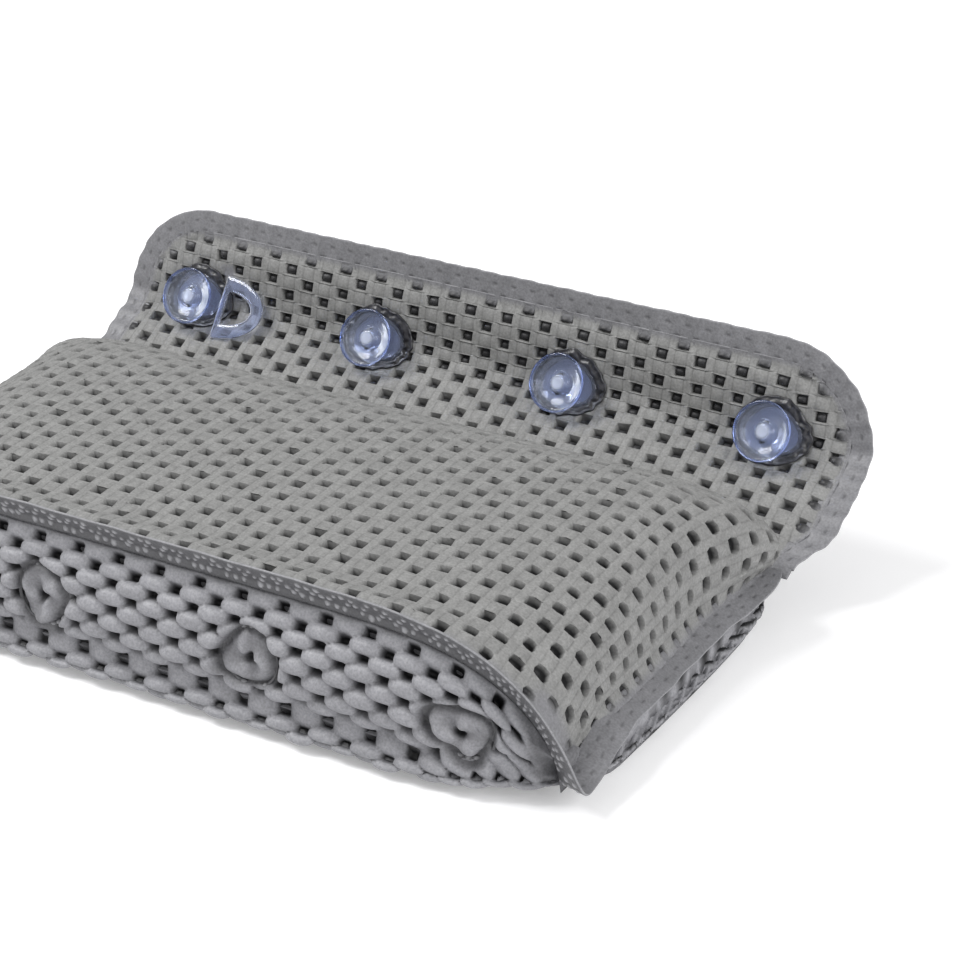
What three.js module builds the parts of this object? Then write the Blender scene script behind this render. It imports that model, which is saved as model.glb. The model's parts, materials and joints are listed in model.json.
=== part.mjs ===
// Bath pillow: a stuffed PVC foam-net cushion lying face down, with a bendable flap behind it
// that carries four clear suction cups. Millimetres, +Z up, the near wall looks along -Y.
import * as THREE from "three";

// Cushion
const cushionWidth = 282; // between the two side seams
const cushionDepth = 151; // from the near seam to the flap hinge
const nearSeamHeight = 51; // near seam above the floor at mid-width
const earHeight = 2.5; // the seam where it comes down at a corner
const hingeHeight = 16; // flap hinge, and the side seams that run to it
const crownLift = 43; // how far the stuffing lifts the back panel
const crownEnd = 0.985; // share of the depth at which the crown is down, clear of the folded flap
const shoulderBulge = 14; // how far the back panel swells out over a far corner
const lowShoulder = 6; // crown above the side seam at which that swelling starts
const fullShoulder = 30; // and at which it is full
const wallBulge = 11.5; // how far the near wall leans out past its seam
const sideBulge = 17; // how far the front panel swells out under a side seam
const cornerSetback = 7; // how far a corner is drawn back from the near edge
const farNarrow = 7; // how far the stuffing draws each side seam in at the hinge
const floorPress = 0.8; // how far the floor flattens the front panel
const rimWidth = 11; // welded rim all round
const sideRimWidth = 9; // what shows of it beside the cushion
const rimThickness = 1.8;
const rimTilt = 50; // degrees, near rim up from the near wall's outward way
const sideRimTilt = -23; // degrees, a side rim droops
const earLength = 14.5; // welded rim at a corner

// Foam net of the cushion, with holes and bars in a checkerboard
const sheetThickness = 3.2;
const netPitchAcross = 15.5; // between the holes of a row
const netPitchAlong = 9.5; // between every other row
const netDepth = 2.2; // of a hole
const restHalfWidth = 45; // flat patch under the middle, on which the cushion lies
const restHalfDepth = 25;
const restB = 0.42; // middle of that patch, as a share of the depth

// Tufts on the near wall
const tuftRadius = 10;
const tuftEdge = 1; // thickness of the padded disc at its edge
const tuftPuff = 2.2; // how much thicker it is in the middle
const tuftShare = 0.53; // centre of a tuft as a share of the seam's height above it
const tuftSpan = 230; // between the outer two tufts
const tuftDepth = 3.6; // how far a tuft draws the wall in
const creaseHeight = 12; // fold below the tufts
const creaseDepth = 3.2;
const creaseWidth = 4;

// Flap
const flapWidth = 310;
const flapRootWidth = 294; // at the hinge
const flapLength = 85; // along the bent sheet, hinge to outer edge
const flapCorner = 36; // radius of the outer corners
const lowerLean = 60; // degrees from upright, below the row of cups
const upperLean = 8; // degrees from upright, above the row of cups
const bendRadius = 18; // of the valley along the row of cups
const bendStart = 40; // hinge to the start of the valley
const flapSheet = 3.4; // one puffed sheet of the flap
const flapSheetEdge = 0.8; // the same sheet where it is pressed into the rim
const hingeRadius = 1.2; // welded bead that the flap bends on

// Suction cups
const cupPitch = 80; // centre to centre
const cupRadius = 10.6; // lip
const cupHeight = 11; // lip above the flap
const cupTravel = 2.5; // how far the lip can be pressed in
const neckRadius = 3;
const sleeveWall = 1.3; // of the cup round its neck
const cupWall = 0.8; // of the lip, and of the button's roof
const buttonRadius = 2.6; // button in the bowl
const buttonFlank = 1.2; // from the neck to the foot of the button
const baseRadius = 11.5; // welded base disc
const baseThickness = 1.6;

// Hanging loop
const loopWidth = 19.5;
const loopLength = 24.4;
const loopBand = 3;
const loopThickness = 1.6;
const loopDrop = 2.5; // below the middle of the cups

const gap = 0.3; // air left between pieces that touch

const { lerp, degToRad, clamp, smoothstep } = THREE.MathUtils;
const cupXs = [-1.5, -0.5, 0.5, 1.5].map((step) => step * cupPitch);
const tuftXs = [-tuftSpan / 2, -cupPitch / 2, cupPitch / 2, tuftSpan / 2];
const edgeA = 0.998; // where the cushion sheets stop short of a side seam
const nearB = 0.012; // and of the near seam
const frontFarB = 0.977; // and of the hinge, under the cushion
const backFarB = 0.984; // and of the hinge, above it

const netBack = { color: 0x98989a, roughness: 0.62, metalness: 0 };
const netFront = { color: 0xa2a2a6, roughness: 0.58, metalness: 0 };
const weld = { color: 0x808286, roughness: 0.5, metalness: 0 };
const fibre = { color: 0xe9e8e4, roughness: 0.95, metalness: 0 };
const clearPvc = { color: 0xc3c4e2, roughness: 0.12, metalness: 0, transparent: true, opacity: 0.55 };

function rise(across, power) {
  return Math.sqrt(Math.max(0, 1 - Math.abs(across) ** power));
}

function sideSeam(b) {
  return lerp(earHeight, hingeHeight, smoothstep(b, 0, 0.22));
}

function seamHeight(a) {
  return lerp(earHeight, nearSeamHeight, rise(a, 7));
}

function crownProfile(b) {
  const down = Math.max(0, 1 - (b / crownEnd) ** 12) ** 0.6;
  return lerp(nearSeamHeight, hingeHeight, b) + crownLift * b ** 0.8 * down;
}

function halfWidth(b) {
  return cushionWidth / 2 - farNarrow * b * b;
}

function plainY(a, b) {
  return lerp(cornerSetback * Math.abs(a) ** 12, cushionDepth, b);
}

// Section of the front panel at mid-width: down the near wall, along the floor, up to the hinge.
const frontSection = new THREE.SplineCurve([
  new THREE.Vector2(0, nearSeamHeight),
  new THREE.Vector2(-0.75 * wallBulge, 0.8 * nearSeamHeight),
  new THREE.Vector2(-wallBulge, 0.53 * nearSeamHeight),
  new THREE.Vector2(-wallBulge, 0.24 * nearSeamHeight),
  new THREE.Vector2(-0.9 * wallBulge, 0.05 * nearSeamHeight),
  new THREE.Vector2(0, 0),
  new THREE.Vector2(0.2 * cushionDepth, 0),
  new THREE.Vector2(0.42 * cushionDepth, 0),
  new THREE.Vector2(0.68 * cushionDepth, 0),
  new THREE.Vector2(0.94 * cushionDepth, 0.12 * hingeHeight),
  new THREE.Vector2(cushionDepth, hingeHeight),
]);

// The near wall takes the first fifth of b, so that points above and below stay paired.
function frontSectionAt(b) {
  return frontSection.getPoint(b < 0.2 ? 2.5 * b : 0.5 + 0.625 * (b - 0.2));
}

function tuftHeight(tuftX) {
  return tuftShare * lerp(earHeight, nearSeamHeight, rise(tuftX / (cushionWidth / 2), 5));
}

// How far the tufts and the fold under them draw the near wall in.
function wallRelief(x, z) {
  let depth = creaseDepth * Math.exp(-(((z - creaseHeight) / creaseWidth) ** 2));
  for (const tuftX of tuftXs) {
    const reach = Math.hypot(x - tuftX, z - tuftHeight(tuftX)) / (1.6 * tuftRadius);
    depth += tuftDepth * Math.max(0, 1 - reach * reach) ** 2;
  }
  return depth;
}

// a runs from -1 to 1 across, b from 0 at the near seam to 1 at the hinge.
function backPanelPoint(a, b) {
  const side = sideSeam(b);
  const share = rise(a, lerp(7, 24, b ** 1.6));
  const lift = crownProfile(b) - side;
  const swell = 4 * share * (1 - share) * smoothstep(Math.abs(a), 0.7, 0.95) * smoothstep(b, 0.6, 0.95);
  const bulge = shoulderBulge * swell * smoothstep(lift, lowShoulder, fullShoulder);
  return new THREE.Vector3(a * halfWidth(b) + Math.sign(a) * bulge, plainY(a, b), side + lift * share);
}

function frontPanelPoint(a, b) {
  const section = frontSectionAt(b);
  const side = sideSeam(b);
  const full = rise(a, 12);
  const shape = lerp(rise(a, 7), full, smoothstep(b, 0, 0.3));
  const press = floorPress * smoothstep(b, 0.1, 0.25) * full;
  const z = Math.max(0, side + (section.y - side) * shape - press);
  const swell = Math.sin(Math.PI * clamp((Math.abs(a) - 0.89) / 0.11, 0, 1)) ** 1.6;
  const x = a * halfWidth(b) + Math.sign(a) * sideBulge * swell * smoothstep(b, 0.08, 0.32) * rise(b, 8);
  let y = plainY(a, b) + (section.x - lerp(0, cushionDepth, b)) * full;
  if (b < 0.2) y += wallRelief(x, z) * full * smoothstep(b, 0, 0.05);
  return new THREE.Vector3(x, y, z);
}

// Point of a sheet of the cushion, moved inwards towards a flat core in the middle of the stuffing.
function cushionPoint(a, b, inset, fromBack) {
  const point = fromBack ? backPanelPoint(a, b) : frontPanelPoint(a, b);
  const core = new THREE.Vector3(
    clamp(point.x, -0.4 * cushionWidth, 0.4 * cushionWidth),
    clamp(point.y, 0.15 * cushionDepth, 0.83 * cushionDepth),
    0.25 * nearSeamHeight,
  );
  return point.addScaledVector(core.sub(point).normalize(), inset);
}

function spread(count, from, to, shape = (t) => t) {
  return Array.from({ length: count + 1 }, (_, i) => lerp(from, to, shape(i / count)));
}

// Closed body from a list of points and faces, turned so that its faces look outwards.
function solid(points, faces) {
  let volume = 0;
  const cross = new THREE.Vector3();
  for (const [i, j, k] of faces) volume += points[i].dot(cross.crossVectors(points[j], points[k]));
  const order = volume < 0 ? faces.map(([i, j, k]) => [i, k, j]) : faces;
  const geometry = new THREE.BufferGeometry().setFromPoints(points);
  geometry.setIndex(order.flat());
  geometry.computeVertexNormals();
  return geometry;
}

function quad(faces, i, j, k, l) {
  faces.push([i, j, k], [i, k, l]);
}

// Faces of a grid of points. They fold along the lines that join its odd points corner to corner.
function gridFaces(rows, columns, start) {
  const faces = [];
  const at = (row, column) => start + row * columns + column;
  for (let row = 0; row + 1 < rows; row++) {
    for (let column = 0; column + 1 < columns; column++) {
      const corners = [at(row, column), at(row, column + 1), at(row + 1, column + 1), at(row + 1, column)];
      if ((row + column) % 2 === 0) corners.push(corners.shift());
      quad(faces, ...corners);
    }
  }
  return faces;
}

// Border of a grid once round, each point with how far round it is.
function gridBorder(across, along, start) {
  const rows = along.length;
  const columns = across.length;
  const share = (lines, i) => (lines[i] - lines[0]) / (lines.at(-1) - lines[0]);
  const border = [];
  const add = (row, column, round) => border.push({ index: start + row * columns + column, round });
  for (let i = 0; i + 1 < columns; i++) add(0, i, share(across, i));
  for (let i = 0; i + 1 < rows; i++) add(i, columns - 1, 1 + share(along, i));
  for (let i = columns - 1; i > 0; i--) add(rows - 1, i, 3 - share(across, i));
  for (let i = rows - 1; i >= 0; i--) add(i, 0, 4 - share(along, i));
  return border;
}

// Sheet between two grids over the same stretch, whose lines may differ, closed round its border.
function sheetSolid(outer, inner) {
  const gridPoints = ({ across, along, at }) => {
    return along.flatMap((v, row) => across.map((u, column) => at(u, v, row + column)));
  };
  const points = [...gridPoints(outer), ...gridPoints(inner)];
  const under = outer.across.length * outer.along.length;
  const faces = gridFaces(outer.along.length, outer.across.length, 0);
  for (const [i, j, k] of gridFaces(inner.along.length, inner.across.length, under)) faces.push([i, k, j]);
  const upper = gridBorder(outer.across, outer.along, 0);
  const lower = gridBorder(inner.across, inner.along, under);
  let i = 0;
  let j = 0;
  while (i + 1 < upper.length || j + 1 < lower.length) {
    const upperNext = upper[i + 1]?.round ?? Infinity;
    const lowerNext = lower[j + 1]?.round ?? Infinity;
    if (upperNext <= lowerNext) {
      faces.push([upper[i].index, lower[j].index, upper[i + 1].index]);
      i++;
    } else {
      faces.push([upper[i].index, lower[j].index, lower[j + 1].index]);
      j++;
    }
  }
  return solid(points, faces);
}

// Bar swept through a list of equal sections, capped at both ends.
function barSolid(sections) {
  const points = sections.flat();
  const corners = sections[0].length;
  const faces = [];
  for (let step = 0; step + 1 < sections.length; step++) {
    for (let corner = 0; corner < corners; corner++) {
      const next = (corner + 1) % corners;
      const base = step * corners;
      quad(faces, base + corner, base + next, base + next + corners, base + corner + corners);
    }
  }
  const last = points.length - corners;
  for (let corner = 1; corner + 1 < corners; corner++) {
    faces.push([0, corner + 1, corner], [last, last + corner, last + corner + 1]);
  }
  return solid(points, faces);
}

// Round body: a point, rings of equal count, and a closing point.
function roundSolid(start, rings, end) {
  const count = rings[0].length;
  const points = [start, ...rings.flat(), end];
  const faces = [];
  for (let i = 0; i < count; i++) {
    const next = (i + 1) % count;
    const last = points.length - 1 - count;
    faces.push([0, 1 + next, 1 + i], [points.length - 1, last + i, last + next]);
    for (let ring = 0; ring + 1 < rings.length; ring++) {
      const base = 1 + ring * count;
      quad(faces, base + i, base + next, base + next + count, base + i + count);
    }
  }
  return solid(points, faces);
}

function piece(name, geometry, look) {
  const mesh = new THREE.Mesh(geometry, new THREE.MeshStandardMaterial({ name, ...look }));
  mesh.name = name;
  return mesh;
}

// Grid lines of the stuffing and of the net's inner face, gathered round the tufts and at the sides.
const tuftLines = tuftXs.flatMap((x) => [-1.6, -0.8, 0, 0.8, 1.6].map((k) => x + k * tuftRadius));
const centreLines = [-0.5, 0, 0.5].map((k) => 2 * k * cupPitch);
const limitX = cushionWidth / 2;
const acrossLines = [...tuftLines, ...centreLines]
  .map((x) => x / limitX)
  .filter((a) => Math.abs(a) < 0.89)
  .concat([0.9, 0.93, 0.96, 0.982, edgeA].flatMap((a) => [-a, a]))
  .sort((left, right) => left - right)
  .filter((a, i, all) => i === 0 || a - all[i - 1] > 0.008);
function alongLines(farB) {
  return [...spread(9, nearB, 0.19), ...spread(7, 0.23, farB, (t) => Math.sin(0.5 * Math.PI * t))];
}

// Lines through the half-cells of the net, evenly spaced by distance along a curve, and its two ends.
function netLines(curve, from, to, pitch) {
  const fine = spread(600, from, to);
  const points = fine.map(curve);
  let length = 0;
  const reached = points.map((point, i) => (length += point.distanceTo(points[Math.max(0, i - 1)])));
  const halfCells = Math.round((2 * length) / pitch);
  const middles = spread(halfCells - 1, 0.5, halfCells - 0.5).map((k) => (k * length) / halfCells);
  const places = middles.map((place) => fine[reached.findIndex((distance) => distance >= place)]);
  return [from, ...places, to];
}

// A hole's depth: none on the sheet's border, and pressed shut in the tufts, the fold and the rest patch.
function holeDepth(a, b, fromBack) {
  if (Math.abs(a) >= edgeA || b <= nearB || b >= (fromBack ? backFarB : frontFarB)) return 0;
  if (fromBack) return netDepth;
  const { x, z } = frontPanelPoint(a, b);
  if (Math.abs(x) < restHalfWidth && Math.abs(b - restB) * cushionDepth < restHalfDepth) return 0;
  if (b >= 0.2) return netDepth;
  return netDepth * clamp(1 - wallRelief(x, z) / creaseDepth, 0, 1);
}

// One sheet of the cushion: the net outside, with every other point a hole, and a plain inner face.
function cushionSheet(fromBack) {
  const farB = fromBack ? backFarB : frontFarB;
  const outerPoint = fromBack ? backPanelPoint : frontPanelPoint;
  return sheetSolid(
    {
      across: netLines((a) => outerPoint(a, 0.5), -edgeA, edgeA, netPitchAcross),
      along: netLines((b) => outerPoint(0, b), nearB, farB, netPitchAlong),
      at: (a, b, step) => cushionPoint(a, b, step % 2 ? 0 : holeDepth(a, b, fromBack), fromBack),
    },
    {
      across: acrossLines,
      along: alongLines(farB),
      at: (a, b) => cushionPoint(a, b, sheetThickness, fromBack),
    },
  );
}

// Stuffing between the two sheets, just clear of both.
function fibreFill() {
  const depth = sheetThickness + 3 * gap;
  const face = (fromBack) => ({
    across: acrossLines.filter((a) => Math.abs(a) < 0.91),
    along: alongLines(fromBack ? backFarB : frontFarB).slice(1, -1),
    at: (a, b) => cushionPoint(a, b, depth, fromBack),
  });
  return sheetSolid(face(true), face(false));
}

// One section of the cushion's welded rim: root against both sheets, band outwards.
function rimSection(a, b, outwards, length) {
  const top = backPanelPoint(a, b);
  const bottom = frontPanelPoint(a, b);
  const middle = top.clone().lerp(bottom, 0.5);
  const root = top.clone().sub(bottom).multiplyScalar(0.5).clampLength(0, 1.6 * rimThickness);
  const across = root.clone().addScaledVector(outwards, -root.dot(outwards)).setLength(0.5 * rimThickness);
  const at = (reach, side, share) => {
    const point = middle.clone().addScaledVector(outwards, reach);
    return point.addScaledVector(side, share);
  };
  return [
    at(2 * gap, root, 1),
    at(0.3 * length, across, 1),
    at(length, across, 1),
    at(length, across, -1),
    at(0.3 * length, across, -1),
    at(2 * gap, root, -1),
  ];
}

// Way out of a corner, level and half-way between the near edge and the side.
function earWay(sign) {
  return new THREE.Vector3(sign * Math.SQRT1_2, -Math.SQRT1_2, 0);
}

// The near rim stands up from the wall, square to its seam, and turns into the ears at the corners.
function nearRimWay(a) {
  const step = 0.5 * (1 - edgeA);
  const slope = (seamHeight(a + step) - seamHeight(a - step)) / (step * cushionWidth);
  const upright = new THREE.Vector3(-slope, 0, 1).normalize();
  const way = upright.multiplyScalar(Math.sin(degToRad(rimTilt))).setY(-Math.cos(degToRad(rimTilt)));
  return way.lerp(earWay(Math.sign(a)), Math.abs(a) ** 40).normalize();
}

// A side rim droops, except where it runs level into an ear and into the flap's rim.
function sideRimWay(sign, b, corner) {
  const turn = degToRad(90 - 45 * corner);
  const tilt = degToRad(lerp(sideRimTilt, 0, Math.max(corner, smoothstep(b, 0.75, 1))));
  const level = new THREE.Vector3(sign * Math.sin(turn), -Math.cos(turn), 0);
  return level.multiplyScalar(Math.cos(tilt)).setZ(Math.sin(tilt));
}

function edgeWeld() {
  const sections = [];
  const side = (sign, b) => {
    const corner = Math.max(0, 1 - b / 0.25) ** 2;
    return rimSection(sign * edgeA, b, sideRimWay(sign, b, corner), lerp(sideRimWidth, earLength, corner));
  };
  const near = (a) => {
    return rimSection(a, nearB, nearRimWay(a), lerp(rimWidth, earLength, Math.abs(a) ** 14));
  };
  const sideLines = alongLines(frontFarB).slice(1);
  sideLines.toReversed().forEach((b) => sections.push(side(-1, b)));
  acrossLines.forEach((a) => sections.push(near(a)));
  sideLines.forEach((b) => sections.push(side(1, b)));
  return barSolid(sections);
}

// Point of the near wall at a given place across and height.
function wallPoint(x, z) {
  let low = nearB;
  let high = 0.2;
  const at = (b) => frontPanelPoint(x / halfWidth(b), b);
  for (let step = 0; step < 40; step++) {
    const middle = 0.5 * (low + high);
    if (at(middle).z > z) low = middle;
    else high = middle;
  }
  return at(low);
}

// Padded disc inside a weld ring, seated on the drawn-in wall.
function tuftButton(tuftX) {
  const count = 18;
  const ring = (r, lift) =>
    spread(count, 0, 2 * Math.PI)
      .slice(0, count)
      .map((turn) => {
        const point = wallPoint(tuftX + r * Math.cos(turn), tuftHeight(tuftX) + r * Math.sin(turn));
        point.y -= lift;
        return point;
      });
  const centre = (lift) => ring(0, lift)[0];
  const seat = 2 * gap;
  const thickness = (share) => tuftEdge + tuftPuff * rise(share, 2);
  const under = [0.35, 0.7, 1].map((share) => ring(share * tuftRadius, seat));
  const over = [1, 0.7, 0.35].map((share) => ring(share * tuftRadius, seat + thickness(share)));
  return roundSolid(centre(seat), [...under, ...over], centre(seat + thickness(0)));
}

// Middle surface of the flap, from the hinge: straight, a valley along the cups, straight.
function flapMiddle(h) {
  const from = degToRad(lowerLean);
  const to = degToRad(upperLean);
  const inBend = clamp(h, bendStart, bendEnd) - bendStart;
  const lean = from - inBend / bendRadius;
  const straight = Math.min(h, bendStart);
  const above = Math.max(0, h - bendEnd);
  const bendY = bendRadius * (Math.cos(lean) - Math.cos(from));
  const bendZ = bendRadius * (Math.sin(from) - Math.sin(lean));
  const y = straight * Math.sin(from) + bendY + above * Math.sin(to);
  const z = straight * Math.cos(from) + bendZ + above * Math.cos(to);
  return { y, z, lean };
}

// Point of the flap across, along, and out from its middle surface on the cup side.
function flapPoint(x, h, out) {
  const { y, z, lean } = flapMiddle(h);
  return new THREE.Vector3(x, y - out * Math.cos(lean), z + out * Math.sin(lean));
}

// Half-width of the flap's outline at a height, drawn in by an inset all round.
function flapHalf(h, inset) {
  const straightEnd = flapLength - flapCorner;
  const radius = flapCorner - inset;
  if (h <= straightEnd) return lerp(flapRootWidth, flapWidth, smoothstep(h, 0, flareEnd)) / 2 - inset;
  const over = Math.min(radius, h - straightEnd);
  return flapWidth / 2 - flapCorner + Math.sqrt(radius * radius - over * over);
}

const flapFrom = hingeRadius + 2 * gap;
const flapTo = flapLength - rimWidth - gap;
const bendEnd = bendStart + bendRadius * degToRad(lowerLean - upperLean);
const cupLine = lerp(bendStart, bendEnd, 0.65);

const flareEnd = 0.4 * (flapLength - flapCorner);
const flapRows = [
  ...spread(5, flapFrom, flareEnd),
  ...spread(3, flareEnd, bendStart).slice(1),
  ...spread(5, bendStart, bendEnd).slice(1),
  ...spread(6, bendEnd, flapTo, (t) => Math.sin(0.5 * Math.PI * t)).slice(1),
];

function flapFull(x, h) {
  const along = clamp((2 * (h - flapFrom)) / (flapTo - flapFrom) - 1, -1, 1);
  const across = clamp(x / flapHalf(h, rimWidth + gap), -1, 1);
  return lerp(flapSheetEdge, flapSheet, rise(along, 6) * rise(across, 24));
}

function flapSheetSolid(side) {
  const columns = spread(14, -1, 1, (t) => lerp(t, 0.5 - 0.5 * Math.cos(Math.PI * t), 0.8));
  const face = (out) => ({
    across: columns,
    along: flapRows,
    at: (u, h) => {
      const x = u * flapHalf(h, rimWidth + gap);
      return flapPoint(x, h, side * out(x, h));
    },
  });
  return sheetSolid(
    face((x, h) => gap / 2 + flapFull(x, h)),
    face(() => gap / 2),
  );
}

function flapRim() {
  const straightEnd = flapLength - flapCorner;
  const centreX = flapWidth / 2 - flapCorner;
  const half = rimThickness / 2;
  const section = (x, h, outX, outH) => [
    flapPoint(x, h, half),
    flapPoint(outX, outH, half),
    flapPoint(outX, outH, -half),
    flapPoint(x, h, -half),
  ];
  const upright = flapRows.filter((h) => h < straightEnd).concat(straightEnd);
  const right = upright.map((h) => section(flapHalf(h, rimWidth), h, flapHalf(h, 0), h));
  const onArc = (radius, turn) => [
    centreX + radius * Math.cos(turn),
    straightEnd + radius * Math.sin(turn),
  ];
  for (const turn of spread(10, 0, 0.5 * Math.PI).slice(1)) {
    right.push(section(...onArc(flapCorner - rimWidth, turn), ...onArc(flapCorner, turn)));
  }
  const left = right.map((corners) => corners.map((point) => point.clone().setX(-point.x))).reverse();
  return barSolid([...right, ...left]);
}

// Place on the cup side of the flap: the point, and the lean of the sheet there.
function flapSeat(x, h) {
  const lean = flapMiddle(h).lean;
  return { point: flapPoint(x, h, gap / 2 + flapFull(x, h)), lean };
}

// Heights above the flap along a cup's axis. The disc curls up round the valley under the sleeve.
const bore = neckRadius + gap;
const baseTop = gap + baseThickness;
const discCurve = bendRadius - flapSheet - baseTop; // radius of the disc's upper face
const valleyRise = (bore + sleeveWall) ** 2 / (2 * discCurve);
const sleeveEnd = baseTop + valleyRise + cupTravel + gap;
const neckTop = sleeveEnd + 3 * gap;

// Disc welded on the flap, following its valley, with a short neck.
function cupBase(cupX) {
  const count = 18;
  const { point: centre, lean } = flapSeat(cupX, cupLine);
  const outwards = new THREE.Vector3(0, -Math.cos(lean), Math.sin(lean));
  const upwards = new THREE.Vector3(0, Math.sin(lean), Math.cos(lean));
  const turns = spread(count, 0, 2 * Math.PI).slice(0, count);
  const onFlap = (r, lift) =>
    turns.map((turn) => {
      const x = cupX + r * Math.cos(turn);
      const h = cupLine + r * Math.sin(turn);
      return flapPoint(x, h, gap / 2 + flapFull(x, h) + lift);
    });
  const onAxis = (r, lift) =>
    turns.map((turn) => {
      const point = centre.clone().addScaledVector(outwards, lift);
      point.x += r * Math.cos(turn);
      return point.addScaledVector(upwards, r * Math.sin(turn));
    });
  const rings = [
    ...[0.25, 0.5, 0.75, 1].map((share) => onFlap(share * baseRadius, gap)),
    ...[1, 0.75, 0.45].map((share) => onFlap(share * baseRadius, baseTop)),
    onAxis(neckRadius, baseTop + 2 * gap),
    onAxis(neckRadius, neckTop),
  ];
  return roundSolid(onFlap(0, gap)[0], rings, onAxis(0, neckTop)[0]);
}

// Cup turned about its axis: button in the bowl, bowl, lip, back of the bowl, sleeve on the neck.
function suctionCup() {
  const boreEnd = neckTop + cupTravel + gap;
  const profile = [
    [0, boreEnd + cupWall],
    [buttonRadius, boreEnd + cupWall],
    [neckRadius + buttonFlank, boreEnd + gap / 3],
    [neckRadius + 1.4 * buttonFlank, boreEnd - 1.25 * cupWall],
    [0.72 * cupRadius, boreEnd - 0.25 * cupWall],
    [0.9 * cupRadius, 0.84 * cupHeight],
    [cupRadius - cupWall, cupHeight],
    [cupRadius, cupHeight],
    [0.93 * cupRadius, 0.8 * cupHeight],
    [0.78 * cupRadius, sleeveEnd + 2.5 * cupWall],
    [0.55 * cupRadius, sleeveEnd + 1.1 * cupWall],
    [bore + sleeveWall, sleeveEnd],
    [bore, sleeveEnd],
    [bore, boreEnd],
    [0, boreEnd],
  ];
  const points = profile.map(([r, height]) => new THREE.Vector2(r, height));
  const lathe = new THREE.LatheGeometry(points.reverse(), 20);
  return lathe.rotateX(Math.PI / 2);
}

// Loop of clear sheet with one straight side, lying across the valley.
function hangLoop() {
  const outline = new THREE.Shape();
  outline.moveTo(0, -loopLength / 2);
  outline.absellipse(0, 0, loopWidth, loopLength / 2, -Math.PI / 2, Math.PI / 2, false, 0);
  outline.closePath();
  const hole = new THREE.Path();
  const holeWidth = loopWidth - 2 * loopBand;
  const holeHalf = 0.92 * (loopLength / 2 - loopBand);
  hole.moveTo(loopBand, -holeHalf);
  hole.absellipse(loopBand, 0, holeWidth, holeHalf, -Math.PI / 2, Math.PI / 2, false, 0);
  hole.closePath();
  outline.holes.push(hole);
  const flatSheet = { depth: loopThickness, bevelEnabled: false, curveSegments: 10 };
  return new THREE.ExtrudeGeometry(outline, flatSheet);
}

const flap = new THREE.Group();
flap.name = "flap";
flap.position.set(0, cushionDepth, hingeHeight);
flap.add(
  piece("flap_back_sheet", flapSheetSolid(1), netBack),
  piece("flap_front_sheet", flapSheetSolid(-1), netFront),
  piece("flap_edge_weld", flapRim(), weld),
);
cupXs.forEach((x, i) => {
  flap.add(piece(`cup_base_${i + 1}`, cupBase(x), clearPvc));
  const { point, lean } = flapSeat(x, cupLine);
  const cup = piece(`suction_cup_${i + 1}`, suctionCup(), clearPvc);
  cup.position.copy(point);
  cup.rotation.x = Math.PI / 2 - lean;
  flap.add(cup);
});

// The loop spans the valley beside the first cup, its straight side next to that cup's base.
const loopX = cupXs[0] + baseRadius + gap;
const loopMiddle = cupLine - loopDrop;
const loopReach = 0.57 * loopLength; // along the bent sheet, a little more than the straight loop
const loopLow = flapSeat(loopX, loopMiddle - loopReach).point;
const loopHigh = flapSeat(loopX, loopMiddle + loopReach).point;
const loopLean = Math.atan2(loopHigh.y - loopLow.y, loopHigh.z - loopLow.z);
const loopOut = new THREE.Vector3(0, -Math.cos(loopLean), Math.sin(loopLean));
const loopRests = spread(24, loopMiddle - loopReach, loopMiddle + loopReach).map((h) =>
  flapSeat(loopX + loopWidth / 2, h).point.sub(loopLow).dot(loopOut),
);
const loop = piece("hang_loop", hangLoop(), clearPvc);
loop.position.copy(loopLow).lerp(loopHigh, 0.5).addScaledVector(loopOut, Math.max(...loopRests) + 2 * gap);
loop.rotation.x = Math.PI / 2 - loopLean;
flap.add(loop);

const hingeBead = new THREE.CylinderGeometry(hingeRadius, hingeRadius, flapRootWidth, 12);
const hinge = piece("hinge_weld", hingeBead.rotateZ(Math.PI / 2), weld);
hinge.position.copy(flap.position);

const pillow = new THREE.Group();
pillow.name = "bath_pillow";
pillow.add(
  piece("back_panel", cushionSheet(true), netBack),
  piece("front_panel", cushionSheet(false), netFront),
  piece("fibre_fill", fibreFill(), fibre),
  piece("edge_weld", edgeWeld(), weld),
  hinge,
  flap,
);
tuftXs.forEach((x, i) => pillow.add(piece(`tuft_button_${i + 1}`, tuftButton(x), netFront)));

// The frame's origin is under the middle of the whole pillow, on the floor.
const box = new THREE.Box3().setFromObject(pillow, true);
const middle = box.getCenter(new THREE.Vector3());
pillow.position.set(-middle.x, -middle.y, -box.min.z);

const bathPillow = new THREE.Group();
bathPillow.add(pillow);
export default bathPillow;
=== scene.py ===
"""Bath pillow: looks of a stuffed foam-net cushion with a suction-cup flap, laid out as an add-on."""

import json
import math

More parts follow.
